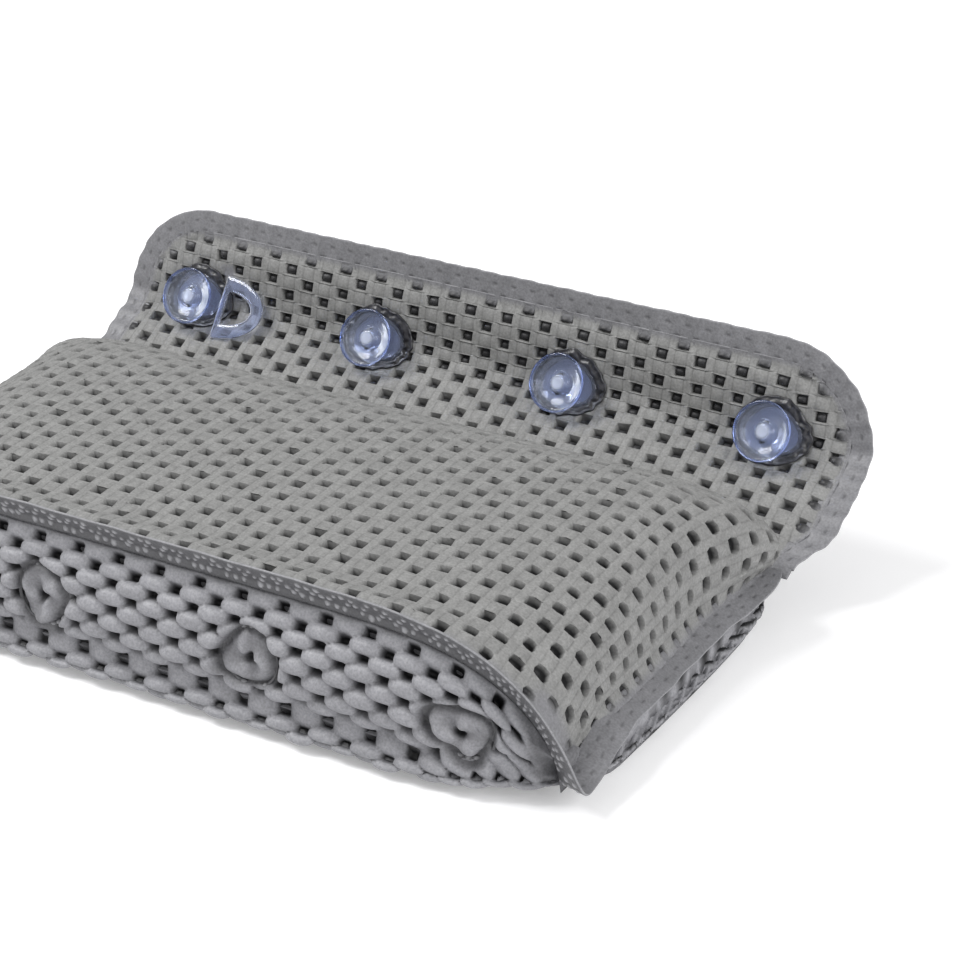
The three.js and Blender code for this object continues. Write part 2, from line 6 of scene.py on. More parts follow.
import bpy
import numpy as np
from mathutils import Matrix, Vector


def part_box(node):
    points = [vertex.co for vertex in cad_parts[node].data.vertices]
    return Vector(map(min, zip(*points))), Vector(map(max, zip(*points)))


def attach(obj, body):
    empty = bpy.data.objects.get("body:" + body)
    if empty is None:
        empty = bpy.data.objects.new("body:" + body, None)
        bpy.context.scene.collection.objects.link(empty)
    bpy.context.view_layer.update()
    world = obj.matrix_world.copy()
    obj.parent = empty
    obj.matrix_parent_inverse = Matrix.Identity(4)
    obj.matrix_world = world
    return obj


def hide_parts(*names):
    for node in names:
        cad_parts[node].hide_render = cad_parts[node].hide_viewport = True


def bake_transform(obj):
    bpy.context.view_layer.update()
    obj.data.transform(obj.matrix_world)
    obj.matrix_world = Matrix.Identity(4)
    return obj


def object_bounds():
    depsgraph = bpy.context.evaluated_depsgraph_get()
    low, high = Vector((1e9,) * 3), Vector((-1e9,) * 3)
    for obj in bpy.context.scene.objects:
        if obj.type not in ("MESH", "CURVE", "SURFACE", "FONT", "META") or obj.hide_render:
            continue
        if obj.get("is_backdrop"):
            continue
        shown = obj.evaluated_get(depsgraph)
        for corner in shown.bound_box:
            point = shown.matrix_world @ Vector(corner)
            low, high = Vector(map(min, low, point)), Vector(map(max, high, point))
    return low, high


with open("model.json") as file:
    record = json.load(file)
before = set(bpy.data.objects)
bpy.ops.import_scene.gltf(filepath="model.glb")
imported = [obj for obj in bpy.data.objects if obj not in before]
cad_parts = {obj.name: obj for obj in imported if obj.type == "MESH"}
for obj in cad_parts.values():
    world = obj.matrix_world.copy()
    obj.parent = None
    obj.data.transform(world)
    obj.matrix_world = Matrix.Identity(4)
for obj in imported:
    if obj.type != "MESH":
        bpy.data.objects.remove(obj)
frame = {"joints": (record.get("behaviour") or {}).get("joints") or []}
cad_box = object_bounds()

bl_info = {
    "name": "Bath Pillow",
    "version": (1, 0, 0),
    "blender": (4, 5, 0),
    "location": "3D View > Sidebar > Bath Pillow",
    "description": "Builds the net, welds, suction cups and stage of a bath pillow",
    "category": "Object",
}

MM = 0.001
CUPS = (1, 2, 3, 4)
joints = {joint["name"]: joint for joint in frame["joints"]}
_, hinge_y, hinge_z = joints["flap_fold"]["pos_m"]


def linear(hex_colour):
    """An sRGB hex colour as linear red, green, blue."""
    channels = [int(hex_colour[i:i + 2], 16) / 255 for i in (1, 3, 5)]
    return tuple(c / 12.92 if c <= 0.04045 else ((c + 0.055) / 1.055) ** 2.4 for c in channels)


def size(name, millimetres, description):
    """A length that a user can change, given in millimetres and kept in metres."""
    return bpy.props.FloatProperty(
        name=name, description=description, default=millimetres * MM, precision=4, unit="LENGTH"
    )


def angle(name, degrees, description):
    """An angle that a user can change, given in degrees."""
    return bpy.props.FloatProperty(
        name=name, description=description, default=math.radians(degrees), subtype="ANGLE"
    )


def share(name, value, description):
    """A share of a size, from 0 to 1, that a user can change."""
    return bpy.props.FloatProperty(
        name=name, description=description, default=value, min=0.0, max=1.0, subtype="FACTOR"
    )


def colour(name, hex_colour, description):
    """A colour that a user can change, given as an sRGB hex value."""
    return bpy.props.FloatVectorProperty(
        name=name, description=description, default=linear(hex_colour), size=3, subtype="COLOR"
    )


class CushionSizes(bpy.types.PropertyGroup):
    """Sizes of the stuffed cushion, as it lies face down."""

    width: size("Width", 282, "Between the two side seams")
    depth: size("Depth", 151, "From the near seam to the flap hinge")
    near_height: size("Near seam height", 51, "Near seam above the floor at mid-width")
    ear_height: size("Ear height", 2.5, "Seam where it comes down at a corner")
    crown_lift: size("Crown lift", 43, "How far the stuffing lifts the back panel")
    crown_end: share("Crown end", 0.985, "Share of the depth at which the crown is down")
    low_shoulder: size("Low shoulder", 6, "Crown above the side seam at which a shoulder starts to swell")
    full_shoulder: size("Full shoulder", 30, "Crown above the side seam at which a shoulder is full")
    shoulder_bulge: size("Shoulder bulge", 14, "How far the back panel swells out over a far corner")
    floor_press: size("Floor press", 0.8, "How far the floor flattens the front panel")
    wall_bulge: size("Wall bulge", 11.5, "How far the near wall leans out past its seam")
    side_bulge: size("Side bulge", 17, "How far the front panel swells out under a side seam")
    corner_setback: size("Corner setback", 7, "How far a corner is drawn back")
    far_narrow: size("Far narrowing", 7, "How far each side seam is drawn in at the hinge")
    tuft_span: size("Tuft span", 230, "Between the outer two tufts")
    inner_tuft_span: size("Inner tuft span", 80, "Between the inner two tufts")
    tuft_radius: size("Tuft radius", 10, "Padded disc inside a tuft's weld ring")
    tuft_depth: size("Tuft depth", 3.6, "How far a tuft draws the wall in")
    tuft_share: share("Tuft height share", 0.53, "Tuft height as a share of the seam above it")
    crease_height: size("Crease height", 12, "Fold under the tufts")
    crease_depth: size("Crease depth", 3.2, "How deep that fold is")
    crease_width: size("Crease width", 4, "Half-width of that fold")
    rim_width: size("Rim width", 11, "Welded rim all round")
    side_rim_width: size("Side rim width", 9, "What shows of the rim beside the cushion")
    rim_thickness: size("Rim thickness", 1.8, "Welded rim, both sheets pressed together")
    ear_length: size("Ear length", 15.2, "Welded rim at a corner")
    ear_turn: angle("Ear turn", 33, "How far a side rim turns to the near side at a corner")
    rim_tilt: angle("Near rim tilt", 50, "Near rim, up from the wall's outward way")
    side_tilt: angle("Side rim tilt", -23, "A side rim droops")
    side_lap: size("Side lap", 3.2, "How far the back panel laps over a side rim")


class NetSizes(bpy.types.PropertyGroup):
    """Sizes of the foamed net: square holes on its back, lozenges on its front."""

    pitch_across: size("Pitch across", 15.5, "Between holes of one row")
    pitch_along: size("Pitch along", 9.5, "Between every other row")
    hole_across: size("Hole across", 4.3, "Hole in the back of the net")
    hole_along: size("Hole along", 4.1, "Hole in the back of the net")
    flap_hole_across: size("Flap hole across", 4.6, "Stretched hole in the flap")
    flap_hole_along: size("Flap hole along", 3.9, "Stretched hole in the flap")
    hole_depth: size("Hole depth", 3.4, "How far a hole is seen into")
    lozenge_length: size("Lozenge length", 12.6, "Rounded bar on the front of the net")
    lozenge_width: size("Lozenge width", 6.8, "Rounded bar on the front of the net")
    lozenge_height: size("Lozenge height", 3.6, "Bulge of a lozenge above the valleys")
    slot_across: size("Slot across", 4.6, "Hole between two lozenges of a row")
    slot_along: size("Slot along", 3.4, "Hole between two lozenges of a row")
    slot_depth: size("Slot depth", 2.2, "How far that hole is seen into")
    backing: size("Backing", 1.6, "Hidden inner face under the bottoms of the holes")
    pull_start: size("Pull start", 92, "Out from mid-width, where the net starts to be pulled open")
    pull_full: size("Full pull", 132, "Out from mid-width, where it is pulled most")


class FlapSizes(bpy.types.PropertyGroup):
    """Sizes of the bendable flap behind the cushion."""

    width: size("Width", 310, "Across the outer part")
    root_width: size("Root width", 294, "Across the hinge")
    length: size("Length", 85, "Along the bent sheet, hinge to outer edge")
    corner: size("Corner radius", 36, "Outer corners")
    lower_lean: angle("Lower lean", 60, "From upright, below the row of cups")
    upper_lean: angle("Upper lean", 8, "From upright, above the row of cups")
    bend_radius: size("Bend radius", 18, "Valley along the row of cups")
    bend_start: size("Bend start", 40, "Hinge to the start of the valley")
    sheet: size("Sheet", 3.4, "One puffed sheet")
    sheet_edge: size("Sheet edge", 0.8, "The same sheet where it is pressed into the rim")


class CupSizes(bpy.types.PropertyGroup):
    """Sizes of the suction cups and the hanging loop."""

    radius: size("Lip radius", 10.6, "Suction cup")
    height: size("Lip height", 11, "Lip above the flap")
    sleeve_end: size("Sleeve end", 5.53, "Back of the cup above the flap")
    neck_top: size("Neck top", 6.43, "Neck above the flap")
    hub_top: size("Hub top", 10.03, "Button in the bowl above the flap")
    neck_radius: size("Neck radius", 3, "Neck under a cup")
    base_radius: size("Base radius", 11.5, "Base disc under a cup")
    base_thickness: size("Base thickness", 1.6, "Base disc under a cup")
    loop_width: size("Loop width", 19.5, "Hanging loop, square to its straight side")
    loop_length: size("Loop length", 24.4, "Hanging loop, along its straight side")
    loop_band: size("Loop band", 5.4, "Width of the loop's band")
    loop_bar: size("Loop bar", 2.5, "Width of the loop's straight side")
    loop_thickness: size("Loop thickness", 1.6, "Thickness of the loop's band")


class PillowColours(bpy.types.PropertyGroup):
    """Colours of the pillow's materials."""

    net_back: colour("Net back", "#818180", "Foamed net, square-hole side")
    net_flap: colour("Net of the flap", "#828281", "The same side, on the flap")
    net_front: colour("Net front", "#909094", "Foamed net, lozenge side")
    # Painted shade: the near-black colour that the bottoms of holes are blended to.
    pit_shade: colour("Net depth", "#1b1b1d", "Bottom of a hole")
    weld: colour("Weld", "#77777a", "Pressed and fused rim")
    edge_and_highlight: colour("Cut edge", "#a9a9ac", "Fresh edge of a weld, and the tops of its dots")
    # A paler cut edge of a weld, and a painted highlight on the tops of its dots and on the tuft rings.
    fused: colour("Fused ring", "#2b2b2f", "Melted net round a cup")
    clear: colour("Clear PVC", "#e9f0ff", "Suction cups and loop")
    clear_depth: colour("Clear PVC in depth", "#93a9ec", "Tint that gathers in thick places")
    fibre: colour("Fibre", "#e9e8e4", "Stuffing")


def sizes(context):
    """Sizes of the cushion, the net, the flap and the cups, which functions take as c, net, f and cups."""
    scene = context.scene
    return scene.pillow_cushion, scene.pillow_net, scene.pillow_flap, scene.pillow_cups


def mix(low, high, t):
    """The value a share t of the way from low to high."""
    return low + (high - low) * t


def smoothstep(x, low, high):
    """0 below low, 1 above high and an S-shaped rise between."""
    t = np.clip((x - low) / (high - low), 0, 1)
    return t * t * (3 - 2 * t)


def rise(across, power):
    """A superellipse's height: 1 in the middle, 0 at across = -1 and 1."""
    return np.sqrt(np.maximum(0, 1 - np.abs(across) ** power))


def stack(x, y, z):
    """Points from their three coordinates."""
    return np.stack(np.broadcast_arrays(x, y, z), axis=-1)


def unit(vectors):
    """The same vectors, each of length one."""
    return vectors / np.maximum(np.linalg.norm(vectors, axis=-1, keepdims=True), 1e-12)


def surface_normals(points):
    """Unit normals of a grid of points: along its columns crossed with along its rows."""
    return unit(np.cross(np.gradient(points, axis=1), np.gradient(points, axis=0)))


def catmull_rom(knots, t):
    """Points at t, from 0 to 1, on the smooth curve through the knots, with equal steps between knots."""
    place = np.clip(t, 0, 1) * (len(knots) - 1)
    first = np.minimum(place.astype(int), len(knots) - 2)
    w = (place - first).reshape(place.shape + (1,) * (knots.ndim - 1))
    p0, p1 = knots[np.maximum(first - 1, 0)], knots[first]
    p2, p3 = knots[first + 1], knots[np.minimum(first + 2, len(knots) - 1)]
    v0, v1 = (p2 - p0) / 2, (p3 - p1) / 2
    return (2 * p1 - 2 * p2 + v0 + v1) * w ** 3 + (3 * p2 - 3 * p1 - 2 * v0 - v1) * w ** 2 + v0 * w + p1


# Cushion surfaces: a runs from -1 to 1 across, b from 0 at the near seam to 1 at the hinge.

EDGE_A = 0.998  # root of the side rims and edge of the cloth cage, just inside the side seams
NEAR_B = 0.012  # near edge of both panels, just inside the near seam
WALL_B = 0.2  # foot of the near wall on the front panel
FRONT_FAR_B = 0.977  # far edge of the front panel, under the hinge
BACK_FAR_B = 0.984  # far edge of the back panel, above the hinge


def half_width(c, b):
    """Half the width between the side seams, drawn in as the square of b."""
    return c.width / 2 - c.far_narrow * b * b


def side_seam(c, b):
    """Height of a side seam, from an ear up to the hinge."""
    return mix(c.ear_height, hinge_z, smoothstep(b, 0, 0.22))


def plain_y(c, a, b):
    """Way to the hinge in even steps of b, with the near corners drawn back."""
    return hinge_y - c.depth + mix(c.corner_setback * np.abs(a) ** 12, c.depth, b)


def seam_height(c, a):
    """Height of the near seam: a superellipse from ear to ear."""
    return mix(c.ear_height, c.near_height, rise(a, 7))


def back_surface(c, a, b):
    """Back panel: a crown from the near seam to the hinge, falling to the side seams as a superellipse
    that gets squarer towards the hinge, and swelling out over the far corners."""
    down = np.maximum(0, 1 - (b / c.crown_end) ** 12) ** 0.6
    side = side_seam(c, b)
    lift = mix(c.near_height, hinge_z, b) + c.crown_lift * b ** 0.8 * down - side
    share_up = rise(a, mix(7, 24, b ** 1.6))
    swell = 4 * share_up * (1 - share_up) * smoothstep(np.abs(a), 0.7, 0.95) * smoothstep(b, 0.6, 0.95)
    bulge = c.shoulder_bulge * swell * smoothstep(lift, c.low_shoulder, c.full_shoulder)
    x = a * half_width(c, b) + np.sign(a) * bulge
    return stack(x, plain_y(c, a, b), side + lift * share_up)


def front_section(c, b):
    """Front panel at mid-width as (y, z): down the near wall, along the floor, up to the hinge."""
    wall, floor = c.wall_bulge, c.depth
    knots = np.array([
        (0, c.near_height), (-0.75 * wall, 0.8 * c.near_height), (-wall, 0.53 * c.near_height),
        (-wall, 0.24 * c.near_height), (-0.9 * wall, 0.05 * c.near_height), (0, 0),
        (0.2 * floor, 0), (0.42 * floor, 0), (0.68 * floor, 0), (0.94 * floor, 0.12 * hinge_z),
        (floor, hinge_z),
    ])
    wall_share, floor_share = b / WALL_B, (b - WALL_B) / (1 - WALL_B)
    return catmull_rom(knots, np.where(b < WALL_B, 0.5 * wall_share, 0.5 + 0.5 * floor_share))


def tuft_places(c):
    """Places of the tufts across the near wall, and their heights above the floor."""
    xs = np.array([-c.tuft_span, -c.inner_tuft_span, c.inner_tuft_span, c.tuft_span]) / 2
    return xs, c.tuft_share * mix(c.ear_height, c.near_height, rise(2 * xs / c.width, 5))


def wall_relief(c, x, z):
    """How far the tufts and the fold under them draw the near wall in."""
    depth = c.crease_depth * np.exp(-(((z - c.crease_height) / c.crease_width) ** 2))
    for tuft_x, tuft_z in zip(*tuft_places(c)):
        reach = np.hypot(x - tuft_x, z - tuft_z) / (1.6 * c.tuft_radius)
        depth = depth + c.tuft_depth * np.maximum(0, 1 - reach * reach) ** 2
    return depth


def front_surface(c, a, b):
    """Front panel: the section carried across, drawn to the side seams, swelling out below them."""
    a, b = np.broadcast_arrays(a, b)
    section = front_section(c, b)
    side = side_seam(c, b)
    full = rise(a, 12)
    shape = mix(rise(a, 7), full, smoothstep(b, 0, 0.3))
    press = c.floor_press * smoothstep(b, 0.1, 0.25) * full
    z = np.maximum(0, side + (section[..., 1] - side) * shape - press)
    swell = np.sin(np.pi * np.clip((np.abs(a) - 0.89) / 0.11, 0, 1)) ** 1.6
    swell = swell * smoothstep(b, 0.08, 0.32) * rise(b, 8)
    x = a * half_width(c, b) + np.sign(a) * c.side_bulge * swell
    y = plain_y(c, a, b) + (section[..., 0] - c.depth * b) * full
    relief = wall_relief(c, x, z) * full * smoothstep(b, 0, 0.05)
    return stack(x, y + np.where(b < WALL_B, relief, 0), z)


def wall_point(c, x, z):
    """Point of the near wall at a place across and a height, found by halving."""
    low, high = np.full_like(x, NEAR_B), np.full_like(x, WALL_B)
    for _ in range(30):
        middle = (low + high) / 2
        above = front_surface(c, x / half_width(c, middle), middle)[..., 2] > z
        low, high = np.where(above, middle, low), np.where(above, high, middle)
    return front_surface(c, x / half_width(c, low), low)


def run_lengths(points, axis=0):
    """Distances from the start along each line of points."""
    steps = np.linalg.norm(np.diff(points, axis=axis), axis=-1)
    return np.insert(np.cumsum(steps, axis=axis), 0, 0, axis=axis)


# Net: half-cells in a checkerboard, holes in one colour and bars in the other.

LOZENGE_PROUD = 0.4 * MM  # top of a lozenge above the plain sheet


class NetLines:
    """Grid lines along one direction of a net, gathered at the edges of its holes.

    place is each line's distance along the sheet, cell the half-cell that it lies in, and offset its
    distance from that half-cell's middle. coarse picks the lines between half-cells.
    """

    def __init__(self, start, end, pitch, hole):
        self.count = max(1, round(2 * (end - start) / pitch))
        self.half = (end - start) / self.count
        self.edge = hole / 2
        self.foot = self.edge - 0.3 * MM
        self.lip = self.edge + 0.4 * (self.half / 2 - self.edge)
        inner = (self.lip, self.edge, self.foot)
        offsets = np.array([-self.half / 2, *(-o for o in inner), 0, *reversed(inner)])
        middles = start + (np.arange(self.count) + 0.5) * self.half
        self.place = np.append((middles[:, None] + offsets).ravel(), end)
        self.cell = np.append(np.repeat(np.arange(self.count), len(offsets)), self.count - 1)
        self.offset = self.place - middles[self.cell]
        self.coarse = np.arange(0, len(self.place), len(offsets))


class EvenLines:
    """Grid lines at even distances, every eighth one coarse."""

    def __init__(self, start, end, spacing, step=8):
        self.count = max(2, round((end - start) / (spacing * step)))
        self.place = np.linspace(start, end, self.count * step + 1)
        self.coarse = np.arange(0, len(self.place), step)


class HoleNet:
    """Back of the net: flat bars with faint ribs, and square holes that are each a little different.

    u and v are the grid's distances across and along, with each hole moved, turned and stretched by its
    own small share; where drawn is 1 the net is pulled and its squares open into diamonds. height is that
    of the bars and of the low collars round the holes, pit goes from 0 at a hole's edge to 1 at its bottom,
    where it also sets the painted shade, and line marks the ribs' grooves, which get a painted shade.
    """

    def __init__(self, across, along, seed, drawn=0.0, puff=0.25 * MM, collar=0.35 * MM):
        rng = np.random.default_rng(seed)
        cells = (along.count, across.count)
        row, column = along.cell[:, None], across.cell[None, :]
        hole = (row + column) % 2 == 0
        u, v = np.broadcast_arrays(across.offset[None, :], along.offset[:, None])
        slack = 1e-6
        near = hole * 1.0
        pulled = 0.35 * np.broadcast_to(drawn, cells)[row, column]
        s, t = np.abs(u) / across.edge, np.abs(v) / along.edge
        pointed = pulled * np.maximum(s, t) / np.maximum(s + t, slack)
        for lines, place in ((across, u), (along, v)):
            stops = lines.edge + slack, lines.lip, lines.half / 2
            near = near * np.interp(np.abs(place), stops, (1, 0.5, 0))
        grow_u = 0.9 * across.half / (2 * across.edge) * pointed - pulled
        grow_v = 0.94 * along.half / (2 * along.edge) * pointed - pulled
        grow = rng.normal(0, 0.05, cells)[row, column]
        turn = rng.normal(0, 0.06, cells)[row, column]
        shift_u, shift_v = (rng.normal(0, 0.16 * MM, cells)[row, column] for _ in range(2))
        self.u = across.place[None, :] + near * ((grow + grow_u) * u - turn * v + shift_u)
        self.v = along.place[:, None] + near * ((grow + grow_v) * v + turn * u + shift_v)
        pad = rise(np.clip(2 * u / across.half, -1, 1), 2) * rise(np.clip(2 * v / along.half, -1, 1), 2)
        rib = np.exp(-(((np.abs(u) - across.edge) / (0.25 * MM)) ** 2))
        level = rng.normal(0, 0.1 * MM, cells)[row, column]
        bars = puff * pad - 0.3 * MM * rib + level * pad
        foot = hole & (np.abs(u) <= across.foot + slack) & (np.abs(v) <= along.foot + slack)
        self.height = np.where(hole, 4 * collar * near * (1 - near) - 0.12 * MM * near, bars)
        self.pit = foot.astype(float)
        # line: where the ribs' grooves get a painted shade.
        self.line = np.where(hole, 0, rib)


def lozenge_net(net, u, v, half_u, half_v, seed):
    """Front of the net as heights, holes and the painted shade of its creases, at distances u along a row
    and v down from the seam.

    Lozenges lie in staggered rows. Each is a superellipse in plan and round in height; where two meet,
    the higher one shows, which leaves creases. A hole lies in each gap between two lozenges of a row.
    """
    repeat = 61
    tall = 1 + np.random.default_rng(seed).normal(0, 0.07, (repeat, repeat))
    column, row = np.floor(u / half_u).astype(int), np.floor(v / half_v).astype(int)
    height, pit = np.zeros_like(u), np.zeros_like(u)
    for step in np.ndindex(3, 3):
        j, i = row + step[0] - 1, column + step[1] - 1
        bar = (i + j) % 2 == 1
        x, y = np.abs(u - (i + 0.5) * half_u), np.abs(v - (j + 0.5) * half_v)
        reach = (2 * x / net.lozenge_length) ** 2.4 + (2 * y / net.lozenge_width) ** 2
        bump = np.sqrt(np.maximum(0, 1 - reach)) * tall[j % repeat, i % repeat]
        height = np.maximum(height, np.where(bar, bump, 0))
        slot = (2 * x / net.slot_across) ** 4 + (2 * y / net.slot_along) ** 4
        pit = np.maximum(pit, np.where(bar, 0, 1 - smoothstep(slot, 0.0, 1.2)))
    # Painted shade in the creases: darker where the lozenges are low.
    crease_shade = 1 - smoothstep(height, 0.1, 0.62)
    return net.lozenge_height * height * (1 - 0.5 * pit), pit, crease_shade


def half_cell(length, pitch):
    """Length of a half-cell when a whole number of them fills a length."""
    return length / round(2 * length / pitch)


# Meshes


def new_piece(name, points, faces, material, attributes=None):
    """A mesh object from points in metres and a list of face index arrays, shaded smooth."""
    mesh = bpy.data.meshes.new(name)
    points = np.asarray(points, np.float32).reshape(-1, 3)
    totals = np.concatenate([np.full(len(part), part.shape[1]) for part in faces]).astype(np.int32)
    corners = np.concatenate([np.asarray(part).ravel() for part in faces]).astype(np.int32)
    mesh.vertices.add(len(points))
    mesh.vertices.foreach_set("co", points.ravel())
    mesh.loops.add(len(corners))
    mesh.loops.foreach_set("vertex_index", corners)
    mesh.polygons.add(len(totals))
    mesh.polygons.foreach_set("loop_start", np.concatenate([[0], np.cumsum(totals)[:-1]]).astype(np.int32))
    mesh.polygons.foreach_set("loop_total", totals)
    mesh.polygons.foreach_set("use_smooth", np.ones(len(totals), bool))
    mesh.update(calc_edges=True)
    for key, values in (attributes or {}).items():
        layer = mesh.attributes.new(key, "FLOAT", "POINT")
        layer.data.foreach_set("value", np.asarray(values, np.float32).ravel())
    if mesh.validate(verbose=False):
        raise RuntimeError(f"the mesh of {name} has faults")
    piece = bpy.data.objects.new(name, mesh)
    bpy.context.scene.collection.objects.link(piece)
    mesh.materials.append(material)
    return piece


def grid_faces(rows, columns, start=0, flip=False):
    """Four-cornered faces of a grid of points."""
    index = start + np.arange(rows * columns).reshape(rows, columns)
    faces = np.stack([index[:-1, :-1], index[:-1, 1:], index[1:, 1:], index[1:, :-1]], -1).reshape(-1, 4)
    return faces[:, ::-1] if flip else faces


def border_strip(outer, inner, step, flip):
    """Faces from one side of a fine grid to the same side of its coarse lining, step lines at a time."""
    count = len(inner) - 1
    fine = outer[np.arange(count)[:, None] * step + np.arange(step + 1)]
    faces = np.concatenate([fine, inner[1:, None], inner[:-1, None]], axis=1)
    return faces[:, ::-1] if flip else faces


def lined_sheet(name, outer, inner, across, along, material, attributes, flip):
    """A closed sheet: a fine outer grid, and an inner grid on its coarse lines."""
    rows, columns = outer.shape[:2]
    fine = np.arange(rows * columns).reshape(rows, columns)
    lining = rows * columns + np.arange(inner.shape[0] * inner.shape[1]).reshape(inner.shape[:2])
    step = len(across.place) // across.count
    faces = [
        grid_faces(rows, columns, 0, flip),
        grid_faces(*inner.shape[:2], rows * columns, not flip),
        border_strip(fine[0], lining[0], step, not flip),
        border_strip(fine[-1], lining[-1], step, flip),
        border_strip(fine[:, 0], lining[:, 0], step, flip),
        border_strip(fine[:, -1], lining[:, -1], step, not flip),
    ]
    coarse = np.ix_(along.coarse, across.coarse)
    points = np.concatenate([outer.reshape(-1, 3), inner.reshape(-1, 3)])
    values = {key: np.concatenate([v.ravel(), v[coarse].ravel()]) for key, v in attributes.items()}
    return new_piece(name, points, faces, material, values)


def ring_faces(rows, columns, start=0, closed=False):
    """Faces of a tube whose rows are rings of points, closed into a loop or left with open ends."""
    index = start + np.arange(rows * columns).reshape(rows, columns)
    index = np.concatenate([index, index[:, :1]], axis=1)
    index = np.concatenate([index, index[:1]], axis=0) if closed else index
    return np.stack([index[:-1, :-1], index[:-1, 1:], index[1:, 1:], index[1:, :-1]], -1).reshape(-1, 4)


def capped_bar(name, sections, material, attributes=None):
    """A bar through rings of points, its two ends closed by one face each."""
    rows, columns = sections.shape[:2]
    last = (rows - 1) * columns
    caps = np.stack([np.arange(columns)[::-1], last + np.arange(columns)])
    return new_piece(name, sections, [ring_faces(rows, columns), caps], material, attributes)


def turned(name, profile, centre, axis, up, segments, material, attributes):
    """A profile of (radius, height) turned about an axis; it starts and ends on the axis."""
    turns = np.linspace(0, 2 * np.pi, segments, endpoint=False)
    side = np.cross(up, axis)
    spokes = np.outer(np.cos(turns), side) + np.outer(np.sin(turns), up)
    rings = centre + profile[1:-1, None, :1] * spokes + profile[1:-1, None, 1:] * np.asarray(axis)
    ends = centre + profile[[0, -1], 1:] * np.asarray(axis)
    rows = len(rings)
    first, last = rows * segments, rows * segments + 1
    here = np.arange(segments)
    following = (here + 1) % segments
    fans = np.concatenate([
        np.stack([np.full(segments, first), following, here], 1),
        np.stack([np.full(segments, last), last - 1 - segments + here, last - 1 - segments + following], 1),
    ])
    points = np.concatenate([rings.reshape(-1, 3), ends])
    values = {key: np.append(np.repeat(v[1:-1], segments), v[[0, -1]]) for key, v in attributes.items()}
    return new_piece(name, points, [ring_faces(rows, segments), fans], material, values)


def closing_walls(rows, columns):
    """Faces that join the borders of two grids, the second one under the first."""
    index = np.arange(rows * columns).reshape(rows, columns)
    border = np.concatenate([index[0, :-1], index[:-1, -1], index[-1, :0:-1], index[:0:-1, 0]])
    following = np.roll(border, -1)
    under = rows * columns
    return np.stack([following + under, border + under, border, following], 1)


def finish_piece(piece, body, slot, *nodes):
    """Ties a piece to its body and hides the CAD nodes that it stands for."""
    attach(piece, body)
    if nodes:
        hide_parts(*nodes)


# Materials


def add_node(tree, kind, links=None, **settings):
    """A node with its settings; links holds values for its inputs, or sockets to join to them."""
    made = tree.nodes.new(kind)
    for key, value in settings.items():
        setattr(made, key, value)
    for key, value in (links or {}).items():
        if isinstance(value, bpy.types.NodeSocket):
            tree.links.new(value, made.inputs[key])
        else:
            made.inputs[key].default_value = value
    return made


def fresh_material(name):
    """A material without nodes, and its tree."""
    material = bpy.data.materials.get(name) or bpy.data.materials.new(name)
    material.use_nodes = True
    material.node_tree.nodes.clear()
    return material, material.node_tree


def per_metre(millimetres):
    """A texture's scale for features of that size."""
    return 1 / (millimetres * MM)


def noise(tree, millimetres, detail, distortion=0.0):
    """Noise with features of that size, fixed to the piece."""
    place = add_node(tree, "ShaderNodeTexCoord").outputs["Object"]
    return add_node(tree, "ShaderNodeTexNoise", {
        "Vector": place, "Scale": per_metre(millimetres), "Detail": detail, "Distortion": distortion,
    }).outputs["Fac"]


def attribute(tree, name):
    """A value that a piece carries at its points."""
    return add_node(tree, "ShaderNodeAttribute", attribute_name=name).outputs["Fac"]


def carried(tree, value, low, high, start=0.0, end=1.0):
    """A value from start to end, carried over to low to high."""
    return add_node(tree, "ShaderNodeMapRange", {
        "Value": value, "From Min": start, "From Max": end, "To Min": low, "To Max": high,
    }).outputs[0]


def combined(tree, operation, first, second):
    """Two values joined by an operation."""
    return add_node(tree, "ShaderNodeMath", {0: first, 1: second}, operation=operation).outputs[0]


def blended(tree, factor, first, second):
    """A colour that goes from the first to the second as the factor goes from 0 to 1."""
    return add_node(tree, "ShaderNodeMix", {
        "Factor": factor, 6: first, 7: second,
    }, data_type="RGBA").outputs[2]


def toned(tree, plain, tone):
    """A colour made darker or paler by a tone."""
    return add_node(tree, "ShaderNodeVectorMath", {0: plain, "Scale": tone}, operation="SCALE").outputs[0]


def bumps(tree, height, strength, millimetres):
    """Shading of a fine relief of that depth."""
    return add_node(tree, "ShaderNodeBump", {
        "Height": height, "Strength": strength, "Distance": millimetres * MM,
    }).outputs[0]


def finish_material(tree, inputs):
    """Gives a material its surface."""
    shader = add_node(tree, "ShaderNodeBsdfPrincipled", inputs)
    add_node(tree, "ShaderNodeOutputMaterial", {"Surface": shader.outputs[0]})


